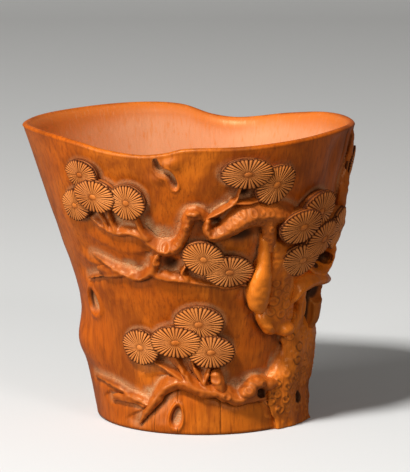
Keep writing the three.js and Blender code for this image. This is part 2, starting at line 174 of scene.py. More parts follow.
def wall_point(angle, level):
    """Point of the plain outer wall."""
    r = wall_radius(angle, level)
    a = np.radians(angle)
    height = np.asarray(level, float) * CUP_HEIGHT + 0.0 * r
    return np.stack([r * np.cos(a), r * np.sin(a), height], -1)


def wall_normal(angle, level):
    """Direction straight out from the wall."""
    around = wall_point(angle + 0.5, level) - wall_point(angle - 0.5, level)
    up = wall_point(angle, level + 0.005) - wall_point(angle, level - 0.005)
    out = np.cross(around, up)
    return out / np.linalg.norm(out, axis=-1, keepdims=True)


def on_wall(angle, level, out):
    """Point at a distance out from the wall, square to it."""
    angle = np.asarray(angle, float)
    level = np.asarray(level, float)
    return wall_point(angle, level) + wall_normal(angle, level) * np.asarray(out)[..., None]


def beside(angle, level, across, up, out):
    """Point beside a place on the wall, across and up in millimetres over the wall."""
    turn = np.degrees(across / wall_radius(angle, level))
    return on_wall(angle + turn, level + up / CUP_HEIGHT, out)


def offset(angle, level, middle, height, across=1.0, up=1.0, tilt=0.0):
    """How far places are across and up over the wall from one place, in its half sizes."""
    x = np.radians(turn_between(angle, middle)) * wall_radius(middle, height)
    y = (level - height) * CUP_HEIGHT
    lean = math.radians(-tilt)
    u = (x * math.cos(lean) - y * math.sin(lean)) / across
    v = (x * math.sin(lean) + y * math.cos(lean)) / up
    return u, v


def spot(angle, level, place, power=2):
    """Share of nearness to a place: angle, level, half across, half up."""
    x, y = offset(angle, level, *place)
    return bell(x**2 + y**2, power)


def lump_noise(points, size, seed):
    """Smooth noise from -1 to 1, with lumps of about the given size in millimetres."""
    lattice = np.random.default_rng(seed).uniform(-1, 1, (32, 32, 32))
    p = np.asarray(points, float) / size + 400.0
    cell = np.floor(p).astype(int)
    f = p - cell
    f = f * f * (3 - 2 * f)
    total = 0.0
    for corner in np.ndindex(2, 2, 2):
        share = 1.0
        for axis in range(3):
            share = share * (f[..., axis] if corner[axis] else 1 - f[..., axis])
        x, y, z = (np.mod(cell[..., axis] + corner[axis], 32) for axis in range(3))
        total = total + share * lattice[x, y, z]
    return total


# Solid shapes on the wall, as a field that is negative inside

# A field's greatest value, the lean of a limb's upper side, and the widest fillet
FAR = 8.0
SLOPE = 0.55
WIDEST_FILLET = 5.0


def blend_join(a, b, soft):
    """Joins two fields with a soft fillet."""
    h = held(0.5 + 0.5 * (b - a) / soft)
    return b + (a - b) * h - soft * h * (1 - h)


def blend_cut(a, b, soft):
    """Cuts field b out of field a with a soft edge."""
    return -blend_join(-a, b, soft)


def between_stations(stations, samples):
    """Stations along a run, with smooth ones put in between."""
    rows = np.asarray(stations, float)
    place = np.arange(len(rows))
    fine = np.linspace(0, len(rows) - 1, (len(rows) - 1) * samples + 1)
    columns = [curve_through(np.column_stack([place, one]), fine) for one in rows.T]
    return np.stack(columns, -1)


class Block:
    """A block of places over the wall, with the real point of each."""

    def __init__(self, angles, levels, outs):
        self.angles = angles
        self.levels = levels
        self.outs = outs
        self.angle, self.level = np.meshgrid(angles, levels, indexing="ij")
        foot = wall_point(self.angle, self.level)
        normal = wall_normal(self.angle, self.level)
        self.points = foot[:, :, None] + normal[:, :, None] * outs[:, None]
        self.field = np.full(self.points.shape[:3], FAR)

    def near(self, angle, level, reach):
        """The part of the block within reach of a place, as slices."""
        turn = np.degrees(reach / wall_radius(angle, level))
        i = np.searchsorted(self.angles, [angle - turn, angle + turn])
        j = np.searchsorted(self.levels, [level - reach / CUP_HEIGHT, level + reach / CUP_HEIGHT])
        return slice(i[0], i[1]), slice(j[0], j[1])

    def limb(self, stations, ground, crest, samples=5, sink=0.42, thick=0.62):
        """Field of a limb along stations, and how wide a fillet each place near it takes.

        Its upper side slopes down to the wall, and its lower side is steep.
        """
        field = np.full(self.field.shape, FAR)
        fillet = np.zeros(self.field.shape)
        fine = between_stations(stations, samples)
        angle, level, half, high = fine.T
        centre = on_wall(angle, level, high * sink + between_places(self, ground, angle, level))
        normal = wall_normal(angle, level)
        size = np.stack([half, high * thick], -1)
        for k in range(len(fine) - 1):
            reach = max(half[k], half[k + 1]) + WIDEST_FILLET + 1.0
            part = self.near((angle[k] + angle[k + 1]) / 2, (level[k] + level[k + 1]) / 2, reach)
            p = self.points[part]
            if not p.size:
                continue
            run = centre[k + 1] - centre[k]
            t = held(((p - centre[k]) @ run) / (run @ run + TINY))[..., None]
            out = normal[k] + (normal[k + 1] - normal[k]) * t
            d = p - centre[k] - run * t
            deep = (d * out).sum(-1)
            flat = d - out * deep[..., None]
            wide = np.linalg.norm(flat, axis=-1)
            deep = deep + SLOPE * np.maximum(flat[..., 2], 0)
            r = size[k] + (size[k + 1] - size[k]) * t
            one = ellipse_distance(wide, deep, r[..., 0], r[..., 1], crest)
            wider = held(0.35 + 0.8 * flat[..., 2] / half[k]) * min(high[k] / 2.6, 1.0)
            fillet[part] = np.where(one < field[part], wider, fillet[part])
            field[part] = np.minimum(field[part], one)
        return np.minimum(field, FAR), fillet

    def lump(self, angle, level, out, across, up, deep):
        """Field of a rounded lump, centred at a distance out from the wall."""
        field = np.full(self.field.shape, FAR)
        part = self.near(angle, level, max(across, up) + WIDEST_FILLET)
        centre = on_wall(angle, level, out)
        side, rise, normal = wall_axes(angle, level)
        d = self.points[part] - centre
        x, y, z = (d @ side) / across, (d @ rise) / up, (d @ normal) / deep
        k = np.sqrt(x**2 + y**2 + z**2) + TINY
        g = np.sqrt((x / across) ** 2 + (y / up) ** 2 + (z / deep) ** 2) + TINY
        field[part] = k * (k - 1) / g
        return field

    def ring_mark(self, angle, level, radius, high):
        """Height to add for a ring mark: a raised rim round a dimple."""
        extra = np.zeros(self.field.shape)
        part = self.near(angle, level, radius * 2.2)
        centre = on_wall(angle, level, 0.0)
        side, rise, _ = wall_axes(angle, level)
        d = self.points[part] - centre
        away = np.hypot(d @ side, d @ rise)
        rim = bell((away - radius) / (0.38 * radius))
        pit = bell(away / (0.6 * radius))
        extra[part] = 0.6 * high * (rim - 0.4 * pit)
        return extra


def ellipse_distance(wide, deep, half, high, crest):
    """Distance to an ellipse, near enough close to its edge. A crest below 2 is sharper."""
    x, y = np.abs(wide) / half + 1e-6, np.abs(deep) / high + 1e-6
    k = (x**crest + y**crest) ** (1 / crest)
    g = np.hypot(x ** (crest - 1) / half, y ** (crest - 1) / high) * k ** (1 - crest) + TINY
    return np.clip((k - 1) / g, -FAR, FAR)


def wall_axes(angle, level):
    """Directions across, up and out at a place on the wall."""
    out = wall_normal(angle, level)
    side = beside(angle, level, 0.5, 0.0, 0.0) - beside(angle, level, -0.5, 0.0, 0.0)
    side = side / np.linalg.norm(side)
    return side, np.cross(out, side), out


# The relief

# Needle fans: angle, level, half across, half up, tilt, lift off the wall
FANS = {
    1: (223.4, 0.883, 6.9, 5.2, 0, 0.3),
    2: (228.6, 0.817, 8.4, 5.9, 0, 1.4),
    3: (217.6, 0.772, 7.4, 5.6, 20, 0.3),
    4: (241.6, 0.805, 6.7, 6.4, 0, 0.8),
    5: (286.1, 0.909, 9.2, 5.5, 0, 1.2),
    6: (297.8, 0.864, 8.2, 6.4, 35, 0.5),
    7: (321.4, 0.75, 9.4, 7.1, 16, 1.8),
    8: (311, 0.716, 9.2, 5.9, 8, 3),
    9: (326.8, 0.655, 9.2, 6, 14, 2.8),
    10: (315.6, 0.595, 9.5, 5.8, 0, 2.4),
    11: (344.5, 0.664, 8.6, 7.6, 0, 2.4),
    12: (357, 0.862, 7, 5.8, 0, 0.2),
    13: (270.6, 0.62, 7.4, 6.1, -25, 0.6),
    14: (281.6, 0.572, 8.8, 5.8, -4, 0.4),
    15: (268.3, 0.387, 8.7, 6.6, 0, 0.3),
    16: (256.9, 0.325, 8.8, 6, 0, 1.4),
    17: (237.9, 0.295, 7, 6.4, -20, 0.5),
    18: (274.3, 0.29, 8.2, 6.1, -8, 0.9),
    19: (7, 0.74, 7.6, 6.8, 0, 1),
    20: (21, 0.8, 8.6, 6.2, 0, 1.2),
    21: (34, 0.715, 8.6, 6.2, 0, 0.8),
    22: (49, 0.79, 8, 6.4, 0, 0.6),
}

# How far the right-hand and the top edge of a fan stand out further than its middle
LEANS = {1: (0, 0.1), 11: (0.6, -0.8)}

# Branches and trunk, by the name of each piece:
#   runs    stations along each limb: angle, level, half width, height
#   lumps   lumps joined on: angle, level, out, half across, half up, half deep
#   hollows the same, cut out and darkened with painted shade
#   marks   ring marks: angle, level, radius, height
#   smooth  smooth worn places, lightened with painted highlight: angle, level, half across, half up
#   bark    share of small ring marks strewn over it
#   rings   darkness of the painted shade in the line round each ring mark
#   painted_highlight  least share of painted highlight, with wear, on its high places
#   whole_shade  least painted shade over the whole piece
#   crest   how round it is: 2 is an ellipse, less is sharper
#   blend   how softly its runs join
#   rough   how uneven it is
#   soft    narrowest and widest fillet at the wall
LIMBS = {
    "upper_twig": {
        "runs": [
            [(271.1, 0.752, 0.7, 2.5), (274.1, 0.767, 0.9, 3.1), (277, 0.78, 0.9, 3.2),
             (280, 0.797, 1, 3.2), (282.5, 0.816, 1, 3.2), (283.6, 0.835, 0.7, 2.8),
             (284.2, 0.858, 0.6, 2.5), (284.9, 0.881, 0.4, 2)],
            [(281.5, 0.809, 1, 3), (285.3, 0.806, 1, 3), (288.8, 0.807, 1, 2.8),
             (292, 0.813, 0.9, 2.5), (295.3, 0.827, 0.7, 2)],
        ],
        "soft": (0.3, 1.3),
    },
    "upper_branch": {
        "runs": [
            [(272.2, 0.75, 1.3, 3.5), (271.9, 0.72, 1.7, 4), (274.2, 0.7, 2.4, 4.4),
             (277.6, 0.707, 2.6, 4.6), (281.4, 0.727, 3.3, 4.8), (285.4, 0.751, 4.1, 5),
             (290.5, 0.765, 4.9, 5), (296.4, 0.762, 4.7, 4.8), (302.9, 0.752, 4, 4.4),
             (310.7, 0.73, 3.2, 4)],
            [(296.8, 0.737, 2.9, 4.4), (298.1, 0.688, 3, 4.4), (298.3, 0.646, 2.5, 3.9)],
        ],
        "hollows": [(275.7, 0.744, 3.2, 1.5, 1, 3)],
        "marks": [
            (285, 0.775, 1.07, 0.42), (289.1, 0.777, 1.13, 0.42), (296.2, 0.771, 1.13, 0.42),
            (292.6, 0.743, 1.07, 0.42), (293.5, 0.705, 1.13, 0.42), (297.1, 0.716, 0.98, 0.38),
            (297.3, 0.678, 1.01, 0.38), (286, 0.742, 0.9, 0.34), (282.2, 0.754, 0.9, 0.34),
            (276.9, 0.72, 0.96, 0.38), (279.7, 0.736, 0.9, 0.34), (273.6, 0.709, 1.18, 0.42),
            (292.5, 0.779, 0.9, 0.34), (288.8, 0.749, 0.9, 0.34), (300.5, 0.743, 0.84, 0.34),
            (296.2, 0.744, 0.79, 0.3), (282.7, 0.728, 0.84, 0.3), (294.7, 0.677, 0.84, 0.34),
        ],
        "smooth": [(295.7, 0.803, 8.1, 1.6)],
        "bark": 0.35,
        "soft": (0.3, 2.6),
    },
    "left_branch": {
        "runs": [
            [(271.1, 0.754, 1.3, 3), (268.5, 0.765, 1.6, 3.5), (265.8, 0.762, 1.9, 3.7),
             (264.2, 0.73, 2, 3.4), (262.5, 0.691, 2, 3), (260.3, 0.661, 2.1, 3.1),
             (256.5, 0.645, 2.3, 3.2), (252.8, 0.644, 2.1, 2.9), (249.5, 0.655, 1.8, 2.6),
             (246.8, 0.674, 1.8, 2.5), (243.7, 0.692, 1.6, 2.4), (239.4, 0.696, 1.5, 2.2),
             (234.9, 0.692, 1.5, 2.2), (231.3, 0.697, 1.3, 2), (226.7, 0.71, 1.6, 1.7),
             (222.7, 0.733, 1.3, 1.4), (220.3, 0.746, 0.8, 0.9)],
            [(230.8, 0.695, 1.1, 2.2), (229.2, 0.724, 0.9, 2.1), (227.3, 0.76, 0.9, 1.9),
             (226.4, 0.782, 0.8, 1.8)],
            [(233.8, 0.698, 1.3, 2.4), (232.6, 0.731, 1, 2.1), (232, 0.764, 0.9, 1.9),
             (231.6, 0.791, 0.7, 1.8)],
            [(247.7, 0.676, 1.2, 2.6), (245.2, 0.707, 1, 2.3), (244, 0.74, 0.9, 2.1),
             (243.5, 0.77, 0.7, 1.8)],
        ],
        "lumps": [(266.3, 0.778, 2.8, 2.5, 1.3, 1.8)],
        "marks": [
            (254.9, 0.654, 1.47, 0.5), (259.2, 0.662, 1.07, 0.35), (267.8, 0.763, 1.34, 0.35),
            (261, 0.696, 0.87, 0.3), (264.1, 0.727, 0.87, 0.3),
        ],
        "rough": 1.3,
        "soft": (0.3, 3.2),
    },
    "middle_branch": {
        "runs": [
            [(292.6, 0.512, 0.6, 1.1), (282.8, 0.51, 0.8, 1.2), (273.6, 0.519, 0.9, 1.5),
             (266.8, 0.529, 1.1, 1.9), (260.2, 0.539, 1.3, 2.3), (254.9, 0.542, 1.5, 2.4),
             (250.9, 0.549, 1.6, 2.5), (247.5, 0.562, 1.8, 2.5), (244.4, 0.546, 1.5, 2.4),
             (240.3, 0.534, 1.6, 2.3), (236.5, 0.541, 1.7, 2.2), (232.7, 0.55, 1.3, 2),
             (228.8, 0.562, 1.1, 1.9), (224.9, 0.576, 1, 1.6), (220.6, 0.588, 0.8, 1.2),
             (217.4, 0.592, 0.5, 0.8)],
            [(232.4, 0.544, 1, 1.9), (224.7, 0.531, 0.8, 1.7), (217.1, 0.518, 0.7, 1.4),
             (209.1, 0.503, 0.5, 0.9)],
            [(248.1, 0.566, 1.6, 2.5), (249.5, 0.592, 1.7, 2.8), (250.6, 0.616, 1.2, 2.3),
             (252.1, 0.633, 0.8, 2)],
            [(263.3, 0.542, 0.9, 2.2), (261.3, 0.563, 0.8, 2.2), (262.7, 0.583, 0.7, 1.9)],
        ],
        "lumps": [(224.9, 0.546, 0, 5.9, 2.5, 1.2)],
        "hollows": [(255.8, 0.596, 2.6, 2, 2, 3)],
        "marks": [(250.9, 0.603, 1.34, 0.4)],
        "rough": 1.3,
        "soft": (0.3, 3.2),
    },
    "cut_stump": {
        "runs": [
            [(280.5, 0.144, 1.5, 3.1), (278.8, 0.18, 2.2, 3.6), (277.5, 0.207, 2, 3.1)],
        ],
        "marks": [(276.7, 0.196, 1.74, 0.45)],
        "soft": (0.3, 2),
    },
    "lower_branch": {
        "runs": [
            [(303.3, 0.121, 2, 3.4), (295.8, 0.124, 2.6, 3.6), (289, 0.117, 2.3, 3.4),
             (283.6, 0.132, 2.5, 3.4), (277.8, 0.147, 2.3, 3.3), (271.5, 0.153, 2.5, 3.2),
             (265.2, 0.164, 2.5, 3.1), (259.3, 0.177, 2.4, 3), (253.4, 0.172, 2.5, 3),
             (248.5, 0.146, 2.2, 2.8), (244.5, 0.111, 1.9, 2.5), (239.7, 0.074, 1.4, 2.1),
             (235.8, 0.04, 0.9, 1.6), (233.7, 0.021, 0.5, 0.9)],
            [(263.5, 0.169, 1.3, 2.6), (258.2, 0.192, 1.2, 2.5), (252.8, 0.214, 1.1, 2.2),
             (247.4, 0.232, 0.9, 2), (243, 0.247, 0.8, 1.6)],
            [(265.1, 0.162, 1.2, 2.6), (261.4, 0.2, 1.2, 2.6), (257.8, 0.237, 1.1, 2.3),
             (255.7, 0.267, 0.9, 2)],
            [(272, 0.162, 1, 2.6), (268.9, 0.196, 0.8, 2.3), (266.2, 0.224, 0.7, 2),
             (265.2, 0.244, 0.6, 1.8)],
            [(271, 0.176, 0.8, 2.6), (272.6, 0.203, 0.9, 2.3), (274.1, 0.234, 0.7, 2)],
        ],
        "lumps": [
            (299.9, 0.166, 1.6, 3.6, 2.2, 2.8), (309, 0.156, 1.2, 3.7, 2.2, 2.6),
            (295.3, 0.141, 2, 3, 2.2, 2.8),
        ],
        "hollows": [(302.5, 0.131, 3.6, 1.8, 1.6, 3.6)],
        "marks": [
            (293.8, 0.15, 2.21, 0.4), (293.8, 0.15, 1.07, 0.45), (282.7, 0.132, 1.21, 0.4),
            (302, 0.168, 1.01, 0.35),
        ],
        "rough": 1.4,
        "soft": (0.3, 3.2),
    },
    "lower_left_branch": {
        "runs": [
            [(239.7, 0.095, 1.4, 1.9), (233.5, 0.107, 1.1, 1.7), (227, 0.122, 1, 1.4),
             (220.3, 0.138, 0.9, 1.4), (210.4, 0.148, 0.9, 1.2), (199, 0.15, 0.9, 0.8)],
            [(237.2, 0.086, 0.9, 1.6), (230.2, 0.097, 0.8, 1.5), (223.2, 0.097, 0.7, 1.2),
             (214.8, 0.089, 0.4, 0.8)],
        ],
        "lumps": [(225.8, 0.105, 0, 6.8, 1.5, 1.2)],
        "soft": (0.3, 3.2),
    },
    "side_branch": {
        "runs": [
            [(354, 0.555, 2.4, 4.4), (363, 0.575, 2.4, 4), (374, 0.63, 2.2, 3.6),
             (386, 0.665, 1.9, 3.2), (394, 0.7, 1.3, 2.6)],
            [(358, 0.59, 2.4, 4.4), (354, 0.65, 3.4, 5.4), (351, 0.735, 3, 4),
             (350, 0.79, 2.8, 3.2), (352, 0.85, 2, 2.6), (351, 0.91, 1.8, 2.2),
             (348, 0.965, 1.4, 1.4)],
        ],
        "bark": 0.4,
        "rough": 1.4,
        "soft": (0.4, 3),
    },
}

TRUNK = {
    "trunk_loop": {
        "painted_highlight": 0.3,
        "runs": [
            [(342, 0.615, 1.7, 5.4), (347, 0.57, 1.9, 5.8), (344, 0.532, 1.8, 5.8),
             (337, 0.52, 1.7, 5.6), (329, 0.533, 1.5, 5), (324, 0.555, 0.9, 4)],
        ],
        "hollows": [(345, 0.557, 2.4, 2.8, 2.2, 2.8)],
        "crest": 2.1,
        "soft": (0.3, 1.2),
    },
    "trunk_curl": {
        "painted_highlight": 0.5,
        "runs": [
            [(352, 0.482, 2.6, 6.2), (343, 0.497, 3, 6.6), (334, 0.507, 3, 6.6),
             (325.2, 0.507, 3.1, 6.6), (319.8, 0.494, 2.8, 6.5), (316.8, 0.47, 2.3, 6.2),
             (314.6, 0.446, 1.6, 5.6), (313.6, 0.428, 0.9, 5)],
        ],
        "crest": 2.1,
        "soft": (0.3, 1.6),
    },
    "trunk_stub": {
        "whole_shade": 0.55,
        "runs": [
            [(345, 0.462, 3.4, 4.6), (342.5, 0.41, 4.4, 6), (341, 0.365, 4.2, 6.6),
             (340.5, 0.342, 3.4, 6)],
        ],
        "hollows": [(338.5, 0.446, 4.8, 6.4, 3.4, 3.4), (334.6, 0.395, 3.6, 2.2, 9, 3)],
        "crest": 2.1,
        "soft": (0.3, 0.8),
    },
    "trunk_drip": {
        "painted_highlight": 0.7,
        "runs": [
            [(296.5, 0.674, 1.8, 3.6), (297.1, 0.633, 2, 4.2), (297.2, 0.596, 2.5, 5),
             (296.9, 0.559, 3.3, 5.6), (296.6, 0.521, 4, 6.1), (296.5, 0.486, 4.3, 6.3),
             (296.8, 0.46, 3.9, 6.1), (297.5, 0.441, 2.7, 5.2)],
        ],
        "crest": 2.1,
        "soft": (0.4, 2.4),
    },
    "trunk_middle": {
        "rings": 0.52,
        "runs": [
            [(302.3, 0.648, 3.2, 3.6), (304, 0.613, 4.1, 4.4), (305.7, 0.57, 5.2, 4.8),
             (307.9, 0.519, 5.8, 5), (309.4, 0.475, 5.7, 5), (310.5, 0.438, 5.9, 5.2),
             (311.1, 0.402, 6, 5), (312, 0.373, 4.5, 5)],
            [(300.9, 0.419, 2.4, 3.4), (301.3, 0.397, 2.7, 5), (303.2, 0.372, 2.2, 5.8),
             (305.8, 0.351, 1.6, 5.2)],
            [(321.1, 0.49, 1.9, 5.4), (324, 0.447, 2.3, 5.2), (326.2, 0.405, 2.7, 4.9),
             (327, 0.369, 3.9, 4.6), (327.4, 0.34, 4.6, 4.2)],
            [(315.2, 0.666, 7.6, 2.2), (320.6, 0.605, 10.5, 2.6), (324.6, 0.559, 10.4, 3)],
        ],
        "lumps": [(314.4, 0.353, 4, 4.2, 2.6, 3)],
        "hollows": [
            (305.1, 0.383, 7, 0.7, 2.2, 2.4), (331.2, 0.417, 3.6, 2.5, 6.9, 4.4),
            (318.5, 0.343, 6.2, 1.7, 2.2, 1.7), (335, 0.56, 3.2, 3.8, 2.6, 3.4),
            (325.5, 0.44, 5.4, 1.6, 6, 1.6),
        ],
        "marks": [
            (303.4, 0.462, 1.47, 0.55), (310.8, 0.447, 1.47, 0.55), (308.6, 0.416, 1.41, 0.5),
            (314.7, 0.406, 1.41, 0.5), (303.2, 0.422, 1.14, 0.4), (303.3, 0.526, 1.01, 0.3),
            (308.8, 0.506, 1.01, 0.3), (304.7, 0.493, 1.07, 0.35), (309.8, 0.477, 1.14, 0.35),
            (320.8, 0.384, 1.07, 0.35),
        ],
        "smooth": [(299.9, 0.391, 3.5, 3.6), (311.6, 0.354, 4.7, 3.2)],
        "bark": 0.25,
        "blend": 1.3,
        "crest": 2.4,
        "soft": (0.4, 2),
    },
    "trunk_lower": {
        "rings": 0.52,
        "runs": [
            [(323.8, 0.3, 3.6, 2.6), (326, 0.268, 4.7, 4.3), (327, 0.232, 5.7, 5.2),
             (324.3, 0.204, 5.6, 5.2), (321, 0.179, 5.7, 4.8), (319.2, 0.15, 6.4, 4.2),
             (318.2, 0.116, 6.8, 3.4), (319.6, 0.081, 6.9, 2), (322.4, 0.047, 6.8, 1.1),
             (326.2, 0.016, 6.1, 0.4)],
            [(334, 0.335, 9, 4), (341, 0.3, 12, 5.6), (342, 0.22, 12.5, 5.4), (337, 0.16, 11, 3.5),
             (335, 0.1, 10.5, 2.8), (335, 0.06, 9.5, 1.9), (334, 0.03, 7, 0.8)],
        ],
        "lumps": [(326.5, 0.049, 0.4, 3.9, 2.2, 1.5)],
        "hollows": [(330, 0.09, 3.8, 1.9, 2.1, 3.2)],
        "marks": [
            (314.9, 0.065, 1.21, 0.35), (309.1, 0.095, 1.07, 0.3), (317.5, 0.095, 1.07, 0.35),
            (307.4, 0.127, 1.01, 0.35), (312.7, 0.118, 1.07, 0.35), (319.7, 0.144, 1.07, 0.35),
            (312.2, 0.153, 1.14, 0.35), (325.1, 0.169, 1.14, 0.35), (324.8, 0.228, 1.14, 0.35),
            (326.6, 0.276, 1.21, 0.35), (320.9, 0.313, 1.14, 0.35), (332.2, 0.232, 1.14, 0.35),
            (331.5, 0.182, 1.07, 0.35),
        ],
        "smooth": [(314.8, 0.276, 4.5, 4.7), (312.1, 0.221, 4.2, 3.5)],
        "bark": 0.6,
        "blend": 3,
        "soft": (1.4, 2.6),
    },
}


# Meshes


def new_object(name, data):
    """An object in the scene."""
    made = bpy.data.objects.new(name, data)
    bpy.context.scene.collection.objects.link(made)
    return made


def points_of(mesh):
    """Points of a mesh, in metres."""
    places = np.empty(len(mesh.vertices) * 3)
    mesh.vertices.foreach_get("co", places)
    return places.reshape(-1, 3)


def mesh_object(name, points, faces, shares):
    """A smooth-shaded mesh object in metres from points in millimetres, with the shares of each."""
    mesh = bpy.data.meshes.new(name)
    mesh.from_pydata((points * MM).tolist(), [], [list(map(int, f)) for f in faces])
    for label, values in shares.items():
        layer = mesh.attributes.new(label, "FLOAT", "POINT")
        layer.data.foreach_set("value", np.asarray(values, np.float32).ravel())
    face_out(mesh)
    mesh.shade_smooth()
    return new_object(name, mesh)


def face_out(mesh):
    """Merges doubles and turns every face outwards."""
    work = bmesh.new()
    work.from_mesh(mesh)
    bmesh.ops.remove_doubles(work, verts=work.verts, dist=1e-7)
    bmesh.ops.recalc_face_normals(work, faces=work.faces)
    work.to_mesh(mesh)
    work.free()
    mesh.update()


def smooth_out(made):
    """Evens out a mesh, with the Smooth modifier put into the mesh."""
    smoother = made.modifiers.new("even", "SMOOTH")
    smoother.factor = 0.5
    smoother.iterations = 1
    bake_modifiers(made)


def bake_modifiers(made):
    """Puts the result of the modifiers into a plain mesh."""
    graph = bpy.context.evaluated_depsgraph_get()
    result = bpy.data.meshes.new_from_object(made.evaluated_get(graph), depsgraph=graph)
    made.modifiers.clear()
    old = made.data
    made.data = result
    bpy.data.meshes.remove(old)


def skin_of(block):
    """Mesh round the inside of a block's field, with the place of each of its points."""
    field = block.field.copy()
    field[[0, -1]] = FAR
    field[:, [0, -1]] = FAR
    field[:, :, [0, -1]] = FAR
    grid = openvdb.FloatGrid(FAR)
    grid.copyFromArray(field.astype(np.float32))
    places, quads = grid.convertToQuads(isovalue=0.0)
    steps = block.angles, block.levels, block.outs
    place = [np.interp(places[:, k], np.arange(len(steps[k])), steps[k]) for k in range(3)]
    return on_wall(*place), quads, place


def settle(made, nodes, material):
    """Keeps a piece within the cup's sizes, and makes it stand for its CAD nodes."""
    kept = np.clip(points_of(made.data), *np.array(CAD_BOX))
    made.data.vertices.foreach_set("co", kept.ravel())
    made.data.update()
    made.data.materials.clear()
    made.data.materials.append(material)
    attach(made, "root")
    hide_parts(*nodes)


# Node trees


class Nodes:
    """A node tree, with short ways to add nodes and join them."""

    def __init__(self, tree):
        self.tree = tree

    def add(self, kind, inputs=None, **settings):
        """Adds a node, sets its settings, and joins or sets its inputs."""
        node = self.tree.nodes.new(kind)
        for key, value in settings.items():
            setattr(node, key, value)
        for key, value in (inputs or {}).items():
            if isinstance(value, bpy.types.NodeSocket):
                self.tree.links.new(value, node.inputs[key])
            else:
                node.inputs[key].default_value = value
        return node

    def out(self, kind, inputs=None, **settings):
        """First output of a new node."""
        return self.add(kind, inputs, **settings).outputs[0]

    def maths(self, operation, *values, clamp=False):
        """Output of a Math node."""
        inputs = dict(enumerate(values))
        return self.out("ShaderNodeMath", inputs, operation=operation, use_clamp=clamp)

    def plus(self, a, b, clamp=False):
        """Sum of two values."""
        return self.maths("ADD", a, b, clamp=clamp)

    def minus(self, a, b, clamp=False):
        """Difference of two values."""
        return self.maths("SUBTRACT", a, b, clamp=clamp)

    def over(self, a, b):
        """One value divided by another."""
        return self.maths("DIVIDE", a, b)

    def times(self, product, *others):
        """Product of two or more values."""
        for value in others:
            product = self.maths("MULTIPLY", product, value)
        return product

    def ramp(self, value, low, high, to_low=0.0, to_high=1.0):
        """Value moved smoothly from one range to another and held at its ends."""
        labels = ("Value", "From Min", "From Max", "To Min", "To Max")
        inputs = dict(zip(labels, (value, low, high, to_low, to_high)))
        return self.out("ShaderNodeMapRange", inputs, interpolation_type="SMOOTHSTEP")

    def xyz(self, **parts):
        """Vector put together from its parts."""
        return self.out("ShaderNodeCombineXYZ", parts)

    def parts(self, vector):
        """The parts of a vector."""
        return self.add("ShaderNodeSeparateXYZ", {0: vector}).outputs

    def mix(self, share, a, b):
        """Colour that lies a share of the way from one colour to another."""
        a, b = (c if isinstance(c, bpy.types.NodeSocket) else (*c, 1.0) for c in (a, b))
        return self.add("ShaderNodeMix", {0: share, 6: a, 7: b}, data_type="RGBA").outputs[2]

    def named(self, name):
        """Named value on the points of a mesh."""
        return self.out("GeometryNodeInputNamedAttribute", {"Name": name}, data_type="FLOAT")

    def store(self, geometry, **values):
        """Geometry with named values stored on its points."""
        for name, value in values.items():
            inputs = {"Geometry": geometry, "Name": name, "Value": value}
            kind = "GeometryNodeStoreNamedAttribute"
            geometry = self.out(kind, inputs, data_type="FLOAT", domain="POINT")
        return geometry

    def placed(self, geometry, **inputs):
        """Geometry moved and scaled."""
        return self.out("GeometryNodeTransform", {"Geometry": geometry, **inputs})

    def ball(self, segments, rings, radius):
        """A round ball."""
        inputs = {"Segments": segments, "Rings": rings, "Radius": radius}
        return self.out("GeometryNodeMeshUVSphere", inputs)


def new_tree(name, inputs):
    """A Geometry Nodes tree with named inputs and a material, and the sockets of its inputs."""
    tree = bpy.data.node_groups.new(name, "GeometryNodeTree")

    def socket(label, kind, way="INPUT"):
        return tree.interface.new_socket(label, in_out=way, socket_type=f"NodeSocket{kind}")

    socket("Geometry", "Geometry")
    for label, default in inputs.items():
        kind = "Int" if isinstance(default, int) else "Float"
        socket(label, kind).default_value = default
    socket("Material", "Material")
    socket("Geometry", "Geometry", "OUTPUT")
    return Nodes(tree), tree.nodes.new("NodeGroupInput").outputs


def close_tree(nodes, source, geometry):
    """Ends a tree: realized instances, smooth shading and the tree's material."""
    real = nodes.out("GeometryNodeRealizeInstances", {"Geometry": geometry})
    smooth = nodes.out("GeometryNodeSetShadeSmooth", {"Geometry": real})
    inputs = {"Geometry": smooth, "Material": source["Material"]}
    nodes.add("NodeGroupOutput", {0: nodes.out("GeometryNodeSetMaterial", inputs)})
    return nodes.tree


def run_tree(made, tree, values):
    """Runs a tree on an object, with its inputs set by their sockets' identifiers."""
    modifier = made.modifiers.new(tree.name, "NODES")
    modifier.node_group = tree
    for item in tree.interface.items_tree:
        if item.in_out == "INPUT" and item.name in values:
            modifier[item.identifier] = values[item.name]
    bake_modifiers(made)


